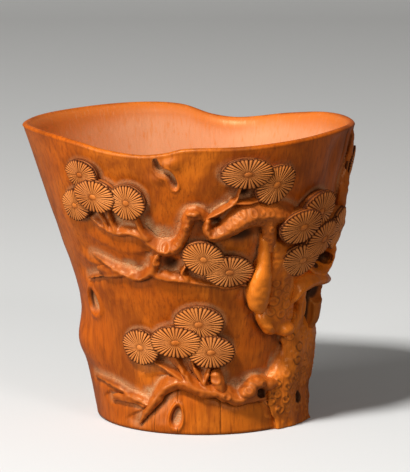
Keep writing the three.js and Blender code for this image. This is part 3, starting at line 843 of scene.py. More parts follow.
def needle_fan_tree():
    """A flat fan one unit in radius: rounded needles round a boss, on a dished pad."""
    sizes = {
        "Needles": 34,
        "Boss Radius": 0.17,
        "Crest": 0.26,
        "Drop": 0.14,
        "Fullness": 1.04,
        "Unevenness": 0.05,
        "Pad Depth": 0.5,
        "Seed": 1,
    }
    nodes, source = new_tree("needle_fan", sizes)
    needles, boss, crest = source["Needles"], source["Boss Radius"], source["Crest"]
    pad_depth, seed = source["Pad Depth"], source["Seed"]
    pitch = nodes.over(math.pi, needles)

    # One needle: a tapered run along X that follows the dished top
    ends = {"Start": nodes.xyz(X=boss), "End": (1, 0, 0)}
    line = nodes.out("GeometryNodeCurvePrimitiveLine", ends)
    run = nodes.out("GeometryNodeResampleCurve", {"Curve": line, "Count": 8})
    away = nodes.parts(nodes.out("GeometryNodeInputPosition"))["X"]
    tip = nodes.ramp(nodes.out("GeometryNodeSplineParameter"), 0.85, 1.0, 1.0, 0.76)
    radius = nodes.times(away, pitch, source["Fullness"], tip)
    lift = nodes.xyz(Z=nodes.minus(crest, nodes.times(away, away, source["Drop"])))
    shaped = nodes.out("GeometryNodeSetCurveRadius", {"Curve": run, "Radius": radius})
    raised = nodes.out("GeometryNodeSetPosition", {"Geometry": shaped, "Offset": lift})
    section = nodes.out("GeometryNodeCurvePrimitiveCircle", {"Resolution": 10, "Radius": 1.0})
    needle = nodes.out(
        "GeometryNodeCurveToMesh",
        {
            "Curve": raised,
            "Profile Curve": section,
            "Scale": nodes.out("GeometryNodeInputRadius"),
            "Fill Caps": True,
        },
    )
    # Painted shade on each needle's sides and painted highlight on its crest, by the way its
    # surface faces
    up = nodes.parts(nodes.out("GeometryNodeInputNormal"))["Z"]
    sides, top = nodes.ramp(up, 0.45, 0.96, 1.0, 0.0), nodes.ramp(up, 0.8, 1.0, 0.0, 0.7)
    needle = nodes.store(needle, groove=sides, polish=top)

    # The needles stand round the boss, each a little longer or lower than its neighbour
    index = nodes.out("GeometryNodeInputIndex")

    def random(low, high, draw):
        inputs = {"Min": low, "Max": high, "ID": index, "Seed": draw}
        return nodes.add("FunctionNodeRandomValue", inputs).outputs["Value"]

    length = random(nodes.minus(1.0, source["Unevenness"]), 1.0, seed)
    swing = random(-0.12, 0.12, nodes.plus(seed, 7))
    turn = nodes.times(nodes.plus(index, swing), nodes.times(pitch, 2.0))
    ring = nodes.out(
        "GeometryNodeInstanceOnPoints",
        {
            "Points": nodes.out("GeometryNodePoints", {"Count": needles}),
            "Instance": needle,
            "Rotation": nodes.out("FunctionNodeEulerToRotation", {0: nodes.xyz(Z=turn)}),
            "Scale": nodes.xyz(X=length, Y=1.0, Z=length),
        },
    )

    # The dished pad under the needles, its stem down to the wall, and the boss; painted shade on
    # the pad away from its middle and on the stem
    sunk = 0.025
    pad = nodes.placed(
        nodes.ball(40, 14, 1.0),
        Translation=(0.0, 0.0, sunk),
        Scale=nodes.xyz(X=1.0, Y=1.0, Z=nodes.times(crest, 0.9)),
    )
    stem = nodes.out(
        "GeometryNodeMeshCone",
        {
            "Vertices": 40,
            "Side Segments": 3,
            "Fill Segments": 1,
            "Radius Top": 0.985,
            "Radius Bottom": 0.9,
            "Depth": nodes.plus(pad_depth, 0.14),
        },
    )
    stem = nodes.placed(stem, Translation=nodes.xyz(Z=nodes.times(pad_depth, -1.0)))
    knob = nodes.placed(
        nodes.ball(20, 10, boss),
        Translation=nodes.xyz(Z=nodes.minus(crest, sunk)),
        Scale=(1.0, 1.0, 0.3),
    )
    x, y, _ = nodes.parts(nodes.out("GeometryNodeInputPosition"))
    spread = nodes.plus(nodes.times(x, x), nodes.times(y, y))
    joined = nodes.add("GeometryNodeJoinGeometry")
    for geometry in (
        ring,
        nodes.store(knob, groove=0.0, polish=0.0),
        nodes.store(pad, groove=nodes.ramp(spread, 0.03, 0.16, 0.0, 0.9)),
        nodes.store(stem, groove=0.55),
    ):
        nodes.tree.links.new(geometry, joined.inputs[0])
    return close_tree(nodes, source, joined.outputs[0])


# Most ring marks on a square metre, before they are thinned out to their spacing
MOST_RINGS = 4.0e6


def bark_tree():
    """Ring marks of old bark over a limb: a raised rim round a dimple, evenly strewn, with painted
    shade in the dimple and round the rim.
    """
    sizes = {"Spacing": 0.0024, "Ring Radius": 0.00095, "Ring Height": 0.0004, "Seed": 3}
    nodes, source = new_tree("bark_rings", sizes)
    geometry, mask = source["Geometry"], nodes.named("bark")
    strewn = nodes.out(
        "GeometryNodeDistributePointsOnFaces",
        {
            "Mesh": geometry,
            "Seed": source["Seed"],
            "Distance Min": source["Spacing"],
            "Density Max": MOST_RINGS,
            "Density Factor": mask,
        },
        distribute_method="POISSON",
    )
    nearest = nodes.add("GeometryNodeProximity", {0: strewn}, target_element="POINTS")
    share = nodes.over(nearest.outputs["Distance"], source["Ring Radius"])

    def bump(middle, width):
        off = nodes.over(nodes.minus(share, middle), width)
        return nodes.maths("EXPONENT", nodes.times(off, off, -1.0))

    rim, pit, moat = bump(1.0, 0.36), bump(0.0, 0.62), bump(1.75, 0.3)
    raised = nodes.minus(rim, nodes.times(pit, 0.5))
    high = nodes.times(raised, mask, source["Ring Height"])
    inputs = {0: nodes.out("GeometryNodeInputNormal"), "Scale": high}
    offset = nodes.out("ShaderNodeVectorMath", inputs, operation="SCALE")
    moved = nodes.out("GeometryNodeSetPosition", {"Geometry": geometry, "Offset": offset})
    # Painted shade in each dimple and in a line round each rim
    dim = nodes.times(nodes.plus(pit, moat), 0.45, mask)
    dimmed = nodes.store(moved, groove=nodes.plus(nodes.named("groove"), dim, clamp=True))
    return close_tree(nodes, source, dimmed)


# Finish


def linear(r, g, b):
    """A colour as it is seen on a screen, 0 to 255, as the linear values that nodes take."""
    parts = [v / 255 for v in (r, g, b)]
    return tuple(v / 12.92 if v <= 0.04045 else ((v + 0.055) / 1.055) ** 2.4 for v in parts)


# Light wood, also the colour of the painted highlight on worn high places
LIGHT_WOOD = linear(212, 112, 24)
DARK_WOOD = linear(132, 56, 8)
# Brown of the painted shade, also used for the pores
PAINTED_SHADE_BROWN = linear(62, 24, 6)
CRACK_WOOD = linear(30, 14, 6)
PECKED_WOOD = linear(190, 142, 98)
# Warm, darker colour of the bowl near the rim, and to the left, where it stands for painted shade
WARM_BOWL = linear(204, 108, 42)
PALE_STROKES = linear(226, 160, 112)


def boxwood(
    name,
    body,
    light=LIGHT_WOOD,
    dark=DARK_WOOD,
    groove=PAINTED_SHADE_BROWN,
    pale_and_lit=None,
    gloss=0.4,
    grain=1.0,
):
    """Old oiled boxwood: upright grain, mottling, pores, painted shade in grooves and hollows, and
    worn high places with painted highlight.
    """
    material = bpy.data.materials.new(name)
    material.use_nodes = True
    material.node_tree.nodes.clear()
    nodes = Nodes(material.node_tree)
    place = nodes.add("ShaderNodeTexCoord").outputs["Object"]

    def noise(scale, detail, upright=1.0, rough=0.5, warp=0.0):
        """Noise with spots that are taller where upright is smaller."""
        squeezed = nodes.out("ShaderNodeMapping", {"Vector": place, "Scale": (1.0, 1.0, upright)})
        labels = ("Vector", "Scale", "Detail", "Roughness", "Distortion")
        inputs = dict(zip(labels, (squeezed, scale, detail, rough, warp)))
        return nodes.add("ShaderNodeTexNoise", inputs).outputs["Fac"]

    def read(label):
        return nodes.add("ShaderNodeAttribute", attribute_name=label).outputs["Fac"]

    def uneven(value, spots, amount):
        return nodes.plus(value, nodes.times(nodes.minus(spots, 0.5), amount))

    mottle = noise(62.0, 4.0, 0.55, 0.62, 0.6)
    cloud = noise(24.0, 3.0, 0.7, 0.5, 0.4)
    streak = noise(680.0, 3.0, 0.045, 0.6, 0.15)
    fine = noise(1500.0, 2.0, 0.09, 0.6)
    speck = noise(900.0, 2.0, 0.5, 0.7)
    polish, deep = read("polish"), read("groove")
    pores = nodes.times(nodes.ramp(speck, 0.7, 0.78), 0.5)
    pecked = nodes.times(read("pecked"), nodes.ramp(noise(2100.0, 1.0), 0.32, 0.62, 0.4, 1.0))
    colour = body

    # Clouds, mottling, dark and pale streaks, pores, and worn places with painted highlight, each
    # over the ones before
    for share, over in (
        (nodes.ramp(cloud, 0.4, 0.68, 0.0, 0.8), light),
        (nodes.ramp(mottle, 0.42, 0.66, 0.0, 0.75), dark),
        (nodes.times(nodes.ramp(streak, 0.48, 0.74), 0.6 * grain), dark),
        (nodes.times(nodes.ramp(fine, 0.5, 0.7), 0.55 * grain), dark),
        (nodes.times(nodes.ramp(streak, 0.5, 0.24), 0.28 * grain), light),
        (pores, groove),
        (nodes.times(polish, 0.75), light),
    ):
        colour = nodes.mix(share, colour, over)
    # The bowl goes from the warm colour to a pale one that is partly painted light, paler deeper in
    # and to the right
    if pale_and_lit:
        depth = read("inside")
        strokes = noise(1000.0, 3.0, 0.13, 0.65, 0.5)
        inner = nodes.mix(nodes.ramp(uneven(depth, cloud, 0.5), 0.3, 1.0), WARM_BOWL, pale_and_lit)
        inner = nodes.mix(nodes.ramp(strokes, 0.5, 0.75, 0.0, 0.55), inner, light)
        inner = nodes.mix(nodes.ramp(strokes, 0.46, 0.25, 0.0, 0.3), inner, PALE_STROKES)
        colour = nodes.mix(nodes.ramp(depth, 0.0, 0.3), colour, inner)

    # The pecked ground beside the branches, painted shade in grooves, holes and under the relief,
    # and cracks
    shade = nodes.ramp(uneven(deep, mottle, 0.35), 0.12, 1.0)
    shade = nodes.times(shade, nodes.ramp(deep, 0.0, 0.2))
    for share, over in ((pecked, PECKED_WOOD), (shade, groove), (read("crack"), CRACK_WOOD)):
        colour = nodes.mix(share, colour, over)

    rough = nodes.plus(uneven(gloss, mottle, 0.3), nodes.times(deep, 0.3))
    rough = nodes.minus(rough, nodes.times(polish, 0.08), clamp=True)
    relief = nodes.times(streak, 0.6)
    for part, amount in ((fine, 0.3), (mottle, 0.8), (pores, -0.8), (pecked, 1.2)):
        relief = nodes.plus(relief, nodes.times(part, amount))
    bumps = {"Height": relief, "Strength": 0.35, "Distance": 0.35 * MM}
    shader = nodes.out(
        "ShaderNodeBsdfPrincipled",
        {
            "Base Color": colour,
            "Roughness": rough,
            "Normal": nodes.out("ShaderNodeBump", bumps),
            "IOR": 1.5,
            "Specular IOR Level": 0.48,
            "Specular Tint": (1.0, 0.72, 0.4, 1.0),
        },
    )
    nodes.add("ShaderNodeOutputMaterial", {"Surface": shader})
    return material


# Settings


def colour_setting(name, description, *screen):
    """A colour in a group of settings."""
    default = linear(*screen)
    return FloatVectorProperty(
        name=name, description=description, subtype="COLOR", size=3, default=default
    )


def length_setting(name, description, default):
    """A length in a group of settings, in metres."""
    return FloatProperty(name=name, description=description, default=default, unit="LENGTH")


class WallSettings(bpy.types.PropertyGroup):
    """Sizes and colours of the cup's wall."""

    columns: IntProperty(name="Columns", description="Faces round the cup", default=430, min=60)
    rows: IntProperty(name="Rows", description="Faces up the outside", default=140, min=30)
    ground_depth: FloatProperty(
        name="Ground Depth",
        description="How far the ground is cut back beside the relief, in millimetres",
        default=0.8,
        min=0.0,
    )
    colour: colour_setting("Colour", "Colour of the oiled wall", 188, 86, 10)
    # The bowl's pale colour is partly painted light
    bowl_colour_and_light: colour_setting("Bowl Colour", "Colour of the bare wood inside", 214, 142, 98)


class FanSettings(bpy.types.PropertyGroup):
    """Sizes and colours of the needle fans."""

    needles: IntProperty(name="Needles", description="Needles in a fan", default=36, min=8)
    drop: FloatProperty(
        name="Drop",
        description="How far a fan's edge falls, as a share of its radius",
        default=0.13,
    )
    colour: colour_setting("Colour", "Colour of the needles", 212, 114, 36)


class BranchSettings(bpy.types.PropertyGroup):
    """Sizes and colours of the branches and the trunk."""

    ring_spacing: length_setting("Ring Spacing", "Distance between ring marks", 3.4 * MM)
    ring_radius: length_setting("Ring Radius", "Radius of a ring mark's rim", 1.2 * MM)
    ring_height: length_setting("Ring Height", "Height of a ring mark's rim", 0.32 * MM)
    colour: colour_setting("Colour", "Colour of the branches", 166, 75, 11)
    trunk_colour: colour_setting("Trunk Colour", "Colour of the trunk", 214, 98, 11)


class StageSettings(bpy.types.PropertyGroup):
    """Floor, camera and lamps."""

    camera_distance: length_setting(
        "Camera Distance", "Distance from the camera to the middle of the cup", 1.5
    )
    camera_rise: FloatProperty(
        name="Camera Rise",
        description="How far the camera looks down",
        default=math.radians(11.0),
        subtype="ANGLE",
    )
    floor_colour: colour_setting("Floor Colour", "Colour of floor and backdrop", 214, 214, 212)


STEP = 0.36


# The wall and its ground

# Knots in the bare wall: angle, level, half across, half up, tilt, depth, rim height
KNOTS = [(208.5, 0.421, 2.8, 4.2, 0, 1.2, 0.8), (256.1, 0.061, 1.9, 3.7, -8, 1.6, 0.75)]

# Hollowed, pecked places of the ground: angle, level, half across, half up
PECKED = [
    (252.9, 0.695, 5.4, 2.7), (247.8, 0.72, 2.2, 3.1), (235.7, 0.743, 2.9, 3.2),
    (279.2, 0.8, 3.9, 1.7), (273.8, 0.777, 2.4, 1.3), (241.1, 0.558, 3.2, 1.8),
    (295.1, 0.604, 1.4, 6), (289, 0.172, 2.6, 1.8), (313, 0.215, 1.8, 4.4),
    (302.1, 0.201, 5.2, 1.1), (226.5, 0.717, 2.3, 2), (267.7, 0.791, 2.7, 1.5),
    (240.6, 0.137, 3.1, 2.1), (295.7, 0.181, 3.2, 1.7), (236.2, 0.579, 3.3, 1.6),
]
PECKED_DEPTH = 0.35

# Deep places between the branches, darkened with painted shade: angle, level, half across, half up,
# depth, darkness
HOLES = [
    (286.2, 0.837, 1.8, 1.6, 1.3, 1), (275.8, 0.739, 1.6, 1.1, 1.3, 0.95),
    (256, 0.588, 3.2, 2.9, 2.4, 1), (263.5, 0.575, 1, 0.9, 1, 0.9),
    (286.5, 0.69, 6, 2.5, 1.2, 1), (333, 0.445, 6.5, 7.5, 0.8, 1),
    (337, 0.562, 5, 2.6, 0.8, 1),
]

# The swelling low on the left, and the raised lips by the slit: angle, level, half across,
# half up, height
SWELLINGS = [
    (192, 0.27, 12, 8, 2.6), (258.9, 0.937, 3.4, 3, 1.4), (254.2, 0.882, 2.8, 2, 0.9),
]

# The bent slit under the rim: angle, level, half width
SLIT = [
    (252.9, 0.945, 0.7), (253.5, 0.924, 1.1), (255, 0.91, 1.2), (257.2, 0.902, 1.2),
    (258.6, 0.887, 1.1), (259.4, 0.869, 1.1), (259.8, 0.858, 0.7),
]
SLIT_DEPTH = 2.4

# Drying cracks: angle, lowest level, highest level; and their half width in degrees
CRACKS = [(256.6, 0.115, 0.165), (256.8, 0.004, 0.028), (243.5, 0.004, 0.09), (280.2, 0.004, 0.13)]
CRACK_HALF_WIDTH = 0.12
CRACK_DEPTH = 0.25

# Angles of the trunk's foot and of the scoop and its run of painted shade by the rim, and a
# distance greater than any over the wall
TRUNK_FOOT = 318
SCOOP = 331
SCOOP_RUN = 341
FAR_AWAY = 50.0


def fan_distance(angle, level):
    """Distance over the wall to the nearest fan's edge, below nothing under a fan."""
    nearest = np.full(np.shape(angle), FAR_AWAY)
    for *place, _ in FANS.values():
        away = np.hypot(*offset(angle, level, *place)) - 0.92
        nearest = np.minimum(nearest, away * min(place[2:4]))
    return nearest


def run_distance(angle, level, run, samples=5):
    """Distance over the wall to a run's edge, and how far each place is above its course."""
    nearest = np.full(np.shape(angle), FAR_AWAY)
    above = np.zeros(np.shape(angle))
    fine = between_stations(run, samples)
    for a, b in zip(fine[:-1], fine[1:]):
        r = wall_radius(a[0], a[1])
        x = np.radians(turn_between(angle, a[0])) * r
        y = (level - a[1]) * CUP_HEIGHT
        run_x = math.radians(b[0] - a[0]) * r
        run_y = (b[1] - a[1]) * CUP_HEIGHT
        t = held((x * run_x + y * run_y) / (run_x * run_x + run_y * run_y + TINY))
        away = np.hypot(x - run_x * t, y - run_y * t) - (a[2] + (b[2] - a[2]) * t)
        above = np.where(away < nearest, y - run_y * t, above)
        nearest = np.minimum(nearest, away)
    return nearest, above


def limb_distance(angle, level):
    """Distance over the wall to the nearest branch, and how far each place is above it."""
    nearest = np.full(np.shape(angle), FAR_AWAY)
    above = np.zeros(np.shape(angle))
    for shape in [*LIMBS.values(), *TRUNK.values()]:
        for run in shape["runs"]:
            one, over = run_distance(angle, level, run)
            above = np.where(one < nearest, over, above)
            nearest = np.minimum(nearest, one)
    return nearest, above


def foot_share(angle, level):
    """Share of nearness to the trunk's foot, which runs into the wall without a cut-back ground or
    painted shade at its edge.
    """
    beside_foot = held(1.4 - np.abs(turn_between(angle, TRUNK_FOOT)) / 32)
    return beside_foot * held((0.13 - level) / 0.06)


def wall_ground(angle, level, depth):
    """Height of the carved ground over the plain wall, and the shares of its marks.

    A share says how far a place is darkened with painted shade, is pecked or cracked, or lies over
    its branch.
    """
    fans = fan_distance(angle, level)
    limbs, above = limb_distance(angle, level)
    off_limb, off_fan = np.maximum(limbs, 0), np.maximum(fans, 0)
    over = held(0.5 + above / 4.0)
    off_foot = 1 - foot_share(angle, level)
    points = wall_point(angle, level)
    fade = held((0.97 - level) / 0.08) * held(level / 0.03)
    ground = 0.42 * lump_noise(points, 15.0, 5) + 0.2 * lump_noise(points, 7.0, 6)
    ground = (ground + 0.06 * lump_noise(points, 2.8, 7)) * fade

    # Beside the relief the ground is cut back, with painted shade at the edge that is stronger
    # below the branches as a painted shadow, and with pecks
    by_limb = (0.7 + 0.5 * over) * bell(off_limb / (1.8 + 3.4 * over)) * off_foot
    by_fan = 0.7 * bell(off_fan / 2.4)
    ground = ground - depth * np.maximum(by_limb, by_fan) * fade
    groove = (0.8 - 0.55 * over) * bell(off_limb / 0.45) * off_foot
    groove = np.maximum(groove, 0.5 * bell(off_fan / 0.4))
    pecked = 0.65 * over * bell(off_limb / 2.4, 4)
    pecked = np.maximum(pecked, 0.6 * bell(off_fan / 1.3, 4)) * fade

    for place in PECKED:
        share = spot(angle, level, place)
        pecked = np.maximum(pecked, share)
        ground = ground - PECKED_DEPTH * share
    # Painted shade in the deep places
    for *place, deep, dark in HOLES:
        share = spot(angle, level, place, 1.5)
        ground = ground - deep * share
        groove = np.maximum(groove, dark * share)
    for *place, high in SWELLINGS:
        ground = ground + high * spot(angle, level, place, 1)
    for *place, deep, rim in KNOTS:
        u, v = offset(angle, level, *place)
        u = u * (1 + 0.18 * v)
        q = np.hypot(u, v)
        ground = ground - deep * bell(q, 6)
        ground = ground + rim * bell((q - 1.3) / 0.25)
        # Painted shade along the upper left of each knot's inner edge
        edge = bell((q - 0.9) / 0.16) * held(0.55 - 0.7 * u + 0.4 * v)
        groove = np.maximum(groove, 0.95 * edge)
        pecked = np.maximum(pecked, bell(q / 0.85, 6))

    slit, above_slit = run_distance(angle, level, SLIT, 4)
    inside = 1 / (1 + np.exp(np.clip(slit * 7, -30, 30)))
    ground = ground - SLIT_DEPTH * inside + 0.45 * bell((slit - 0.75) / 0.5)
    # Painted shade along the inside of the slit's edge, strongest above its course
    edge = bell((slit + 0.2) / 0.32) * np.clip(0.7 + above_slit, 0.45, 1)
    groove = np.maximum(groove, 0.95 * edge)
    pecked = np.maximum(pecked, inside)

    # Scoop by the rim on the right, with its run darkened by painted shade
    scoop = (turn_between(angle, SCOOP) / 4.2) ** 2 + ((level - 0.915) / 0.075) ** 2
    ground = ground - 1.2 * bell(scoop, 1)
    notch = bell(turn_between(angle, SCOOP_RUN) / 1.1) * held((level - 0.86) / 0.05)
    ground = ground - 1.0 * notch
    groove = np.maximum(groove, 0.85 * notch)

    crack = np.zeros(np.shape(angle))
    for a, low, high in CRACKS:
        line = np.abs(turn_between(angle, a)) < CRACK_HALF_WIDTH
        crack = np.maximum(crack, np.where(line & (level > low) & (level < high), 0.85, 0.0))
    ground = ground - CRACK_DEPTH * crack
    return ground, {"groove": groove, "pecked": pecked, "crack": crack, "over": over}


# Where the wall's mesh is finer or coarser: start, end, share of the usual step
FINE_ANGLES = [(203.0, 213.0, 0.45), (251.0, 262.0, 0.34), (0.0, 195.0, 1.7)]
FINE_LEVELS = [(0.02, 0.105, 0.6), (0.38, 0.47, 0.7), (0.85, 0.965, 0.55)]
BESIDE_CRACK = 0.3

# Rings of points: turns over the rim in degrees, and numbers down the bowl and round
# its corner
RIM_TURNS = [22, 45, 68, 90, 112, 135, 158]
BOWL_RINGS = 32
CORNER_RINGS = 12


def spaced(start, end, step, finer):
    """Places from start up to end, closer together or wider apart in the given ranges."""
    places = [start]
    while True:
        here = places[-1]
        share = next((part for low, high, part in finer if low <= here < high), 1.0)
        if here + step * share > end - step * 0.25:
            return np.array(places)
        places.append(here + step * share)


def wall_angles(columns):
    """Angles of the wall's mesh, with a point on each crack and one on each side of it."""
    angles = spaced(0.0, 360.0, 360.0 / columns, FINE_ANGLES)
    near = np.concatenate([[a - BESIDE_CRACK, a, a + BESIDE_CRACK] for a, _, _ in CRACKS])
    far_off = [np.abs(turn_between(near, a)).min() > BESIDE_CRACK for a in angles]
    return np.sort(np.unique(np.round(np.concatenate([angles[far_off], near]), 4)))


def wall_mesh(columns, rows, depth):
    """Points, faces and shares of the wall: foot, outside, rim, bowl and floor."""
    angles = wall_angles(columns)
    rim = curve_through(RIM_ROUND, angles)
    half = RIM_THICKNESS / 2
    rings = []
    shares = {"groove": [], "pecked": [], "crack": [], "inside": []}

    def inward(level, back, height):
        """Ring of points that lies back from the outer wall."""
        r = np.maximum(wall_radius(angles, level) - back, 0.0)
        a = np.radians(angles)
        return np.stack([r * np.cos(a), r * np.sin(a), height + 0 * r], -1)

    def add(points, **marks):
        rings.append(points)
        for label, values in shares.items():
            values.append(np.broadcast_to(marks.get(label, 0.0), angles.shape))

    # Foot, outside and rim
    add(inward(0.0, FOOT_CHAMFER, 0.0))
    low, top = FOOT_CHAMFER / CUP_HEIGHT, rim - half / CUP_HEIGHT
    for share in np.append(spaced(0.0, 1.0, 1.0 / rows, FINE_LEVELS), 1.0):
        level = low + (top - low) * share
        ground, marks = wall_ground(angles, level, depth)
        fade = held((1 - share) / 0.02) * held(share / 0.01)
        add(on_wall(angles, level, ground * fade), **marks)
    for turn in np.radians(RIM_TURNS):
        back = half * (1 - math.cos(turn))
        height = rim * CUP_HEIGHT - half * (1 - math.sin(turn))
        add(inward(rim, back, height), inside=max(0.0, math.degrees(turn) - 90) / 300)

    # Bowl, paler to the right as painted light, its round corner, and its floor
    bend = FLOOR_THICKNESS + BOWL_CORNER
    inner_top = rim * CUP_HEIGHT - half
    for share in np.linspace(0, 1, BOWL_RINGS):
        height = inner_top + (bend - inner_top) * share
        level = height / CUP_HEIGHT
        thick = RIM_THICKNESS + (WALL_THICKNESS - RIM_THICKNESS) * np.minimum(1, (1 - level) * 2.2)
        points = inward(level, thick, height)
        wobble = 0.18 * lump_noise(points * [1, 1, 0.25], 5.0, 11) * min(1.0, share * 8)
        # Painted light: the bowl is paler to the right
        pale_and_lit = np.clip((points[:, 0] + 64) / 40, 0.2, 1) * min(1.0, share / 0.09)
        add(inward(level, thick + wobble, height), inside=0.3 + 0.7 * pale_and_lit)
    for turn in np.radians(np.linspace(0, 90, CORNER_RINGS + 1)[1:]):
        back = WALL_THICKNESS + BOWL_CORNER * (1 - math.cos(turn))
        add(inward(bend / CUP_HEIGHT, back, bend - BOWL_CORNER * math.sin(turn)), inside=1.0)
    edge = rings[-1]
    for share in (0.7, 0.4, 0.15):
        add(edge * [share, share, 1.0], inside=1.0)

    count = len(angles)
    points = np.concatenate([*rings, [[0, 0, FLOOR_THICKNESS], [0, 0, 0]]])
    k = np.arange(count)
    after = (k + 1) % count
    starts = np.arange(len(rings) - 1)[:, None] * count
    corners = [k + starts, after + starts, after + starts + count, k + starts + count]
    faces = list(np.stack(corners, -1).reshape(-1, 4))
    last = (len(rings) - 1) * count
    centre = len(points) - 2
    faces += [[last + i, last + j, centre] for i, j in zip(k, after)]
    faces += [[j, i, centre + 1] for i, j in zip(k, after)]
    marks = {
        label: np.concatenate([*values, [1.0 if label == "inside" else 0.0, 0.0]])
        for label, values in shares.items()
    }
    return points, faces, marks


# Making the pieces

# How far a piece's seat lies under the carved ground and its root under that, and how
# far it stays below the rim and off the floor, in millimetres
SEAT = 0.14
ROOT = 0.8
BELOW_RIM = 1.2
OFF_FLOOR = 0.05

# How far a block of places reaches past its limbs, inwards and outwards
BLOCK_MARGIN = 1.6


def block_for(runs, margin):
    """A block that holds every station of the runs."""
    angle, level, half, high = np.concatenate([np.asarray(run, float) for run in runs]).T
    r = wall_radius(angle, level).min()
    turn, rise = np.degrees((half + margin) / r), (half + margin) / CUP_HEIGHT
    step = STEP
    angles = np.arange((angle - turn).min(), (angle + turn).max(), np.degrees(step / r))
    levels = np.arange((level - rise).min(), (level + rise).max(), step / CUP_HEIGHT)
    outs = np.arange(-BLOCK_MARGIN, high.max() * 1.15 + BLOCK_MARGIN, step)
    return Block(angles, levels, outs)


def between_places(block, values, angle, level):
    """Values of a map over the block, read between its places."""
    x = np.interp(angle, block.angles, np.arange(len(block.angles)))
    y = np.interp(level, block.levels, np.arange(len(block.levels)))
    i = np.clip(x.astype(int), 0, len(block.angles) - 2)
    j = np.clip(y.astype(int), 0, len(block.levels) - 2)
    u, v = x - i, y - j
    low = values[i, j] * (1 - u) + values[i + 1, j] * u
    high = values[i, j + 1] * (1 - u) + values[i + 1, j + 1] * u
    return low * (1 - v) + high * v


def tool_marks(field, points, seed, amount):
    """Adds the unevenness of hand carving to a field: lumps and shallow knife facets."""
    near = np.abs(field) < 1.8
    p = points[near]
    facets = 0.5 - np.abs(lump_noise(p, 2.4, seed + 2))
    cut = 0.34 * lump_noise(p, 4.4, seed) + 0.1 * lump_noise(p, 1.5, seed + 1) + 0.3 * facets
    field[near] += amount * cut
    return field


def carve_limb(name, shape, seed, depth):
    """Mesh object of one branch or trunk piece, from its runs, lumps, hollows and marks."""
    low, high = shape["soft"]
    hollows, ring_marks = shape.get("hollows", []), shape.get("marks", [])
    block = block_for(shape["runs"], high + 0.8)
    ground, marks = wall_ground(block.angle, block.level, depth)
    seat = np.clip(ground, -0.5, 0.6)
    field = fillet = None
    for run in shape["runs"]:
        one, wider = block.limb(run, seat, shape.get("crest", 1.6))
        fillet = wider if field is None else np.where(one < field, wider, fillet)
        field = one if field is None else blend_join(field, one, shape.get("blend", 0.9))
    for lump in shape.get("lumps", []):
        field = blend_join(field, block.lump(*lump), 1.2)
    field = tool_marks(field, block.points, seed, shape.get("rough", 1.0))
    for mark in ring_marks:
        field = field - block.ring_mark(*mark)
    for hollow in hollows:
        field = blend_cut(field, block.lump(*hollow), 0.4)

    # A soft fillet joins it to the carved ground, and it stays below the rim and off the floor
    over_ground = block.outs - (ground - SEAT)[..., None]
    soft = low + (high - low) * fillet
    joined = blend_join(field, over_ground, soft)
    joined = np.maximum(joined, field - soft - 0.3)
    joined = np.maximum(joined, -ROOT - over_ground)
    rim = curve_through(RIM_ROUND, np.mod(block.angle, 360)) * CUP_HEIGHT - BELOW_RIM
    height = block.points[..., 2]
    joined = np.maximum(joined, height - rim[..., None])
    block.field = np.maximum(joined, OFF_FLOOR - height)
    points, quads, (angle, level, out) = skin_of(block)

    # Painted shade: where it meets the ground, weaker on its upper side, in its hollows, round its
    # ring marks, and a least share over a whole piece
    here = {label: between_places(block, share, angle, level) for label, share in marks.items()}
    rise = out - between_places(block, ground, angle, level)
    groove = 0.75 * held((0.55 - rise) / 0.55) * (1 - foot_share(angle, level))
    groove = np.maximum(groove * (1 - 0.85 * here["over"]), shape.get("whole_shade", 0.0))
    groove = np.maximum(groove, here["groove"] * held((1.6 - rise) / 0.8))
    for a, lev, _, across, up, _ in hollows:
        inside = held(2.6 - 1.9 * np.hypot(*offset(angle, level, a, lev, across, up)))
        groove = np.maximum(groove, inside * held((5.0 - rise) / 1.5))
    for a, lev, radius, _ in ring_marks:
        away = np.hypot(*offset(angle, level, a, lev)) / radius
        ring = shape.get("rings", 0.42) * bell((away - 1.3) / 0.3) + 0.2 * bell(away / 0.4)
        groove = np.maximum(groove, ring)
    # Painted highlight, with wear, on smooth places and on high places
    smooth = np.zeros(np.shape(angle))
    for place in shape.get("smooth", []):
        smooth = np.maximum(smooth, spot(angle, level, place))
    polish = np.maximum(shape.get("painted_highlight", 0.0), 0.7 * smooth) * held((rise - 2.0) / 2.0)
    shares = {
        "groove": groove,
        "bark": shape.get("bark", 0.0) * held((rise - 1.6) / 0.8) * (1 - smooth),
        "pecked": here["pecked"] * held(1.1 - 1.2 * rise),
        "polish": polish,
    }
    made = mesh_object(name, points, quads, shares)
    smooth_out(made)
    return made


# How far a point stands proud of, or lies below, its surroundings for worn wood with painted
# highlight, or for painted shade, in mm
SHADING_STEP = 0.14
CREASE = 0.07


def paint_ridge_highlight_and_crease_shade(made, rounds=5):
    """Stores worn shares with painted highlight on ridges and adds painted shade in creases, from
    the mesh's shape.
    """
    mesh = made.data
    count = len(mesh.vertices)
    places = points_of(mesh) / MM
    normals = np.empty(count * 3, np.float32)
    mesh.vertex_normals.foreach_get("vector", normals)
    ends = np.empty(len(mesh.edges) * 2, np.int32)
    mesh.edges.foreach_get("vertices", ends)
    a, b = ends.reshape(-1, 2).T
    degree = np.bincount(a, minlength=count) + np.bincount(b, minlength=count)
    even = places
    for _ in range(rounds):
        parts = [
            np.bincount(a, even[b, axis], count) + np.bincount(b, even[a, axis], count)
            for axis in range(3)
        ]
        even = np.stack(parts, -1) / np.maximum(degree, 1)[:, None]
    proud = ((places - even) * normals.reshape(-1, 3)).sum(-1)
    for label, extra in (("polish", proud / SHADING_STEP), ("groove", (-proud - CREASE) / SHADING_STEP)):
        layer = mesh.attributes.get(label)
        values = np.zeros(count, np.float32)
        layer.data.foreach_get("value", values)
        values = held(np.maximum(values, 0.8 * held(extra)))
        layer.data.foreach_set("value", values.astype(np.float32))


# Operators


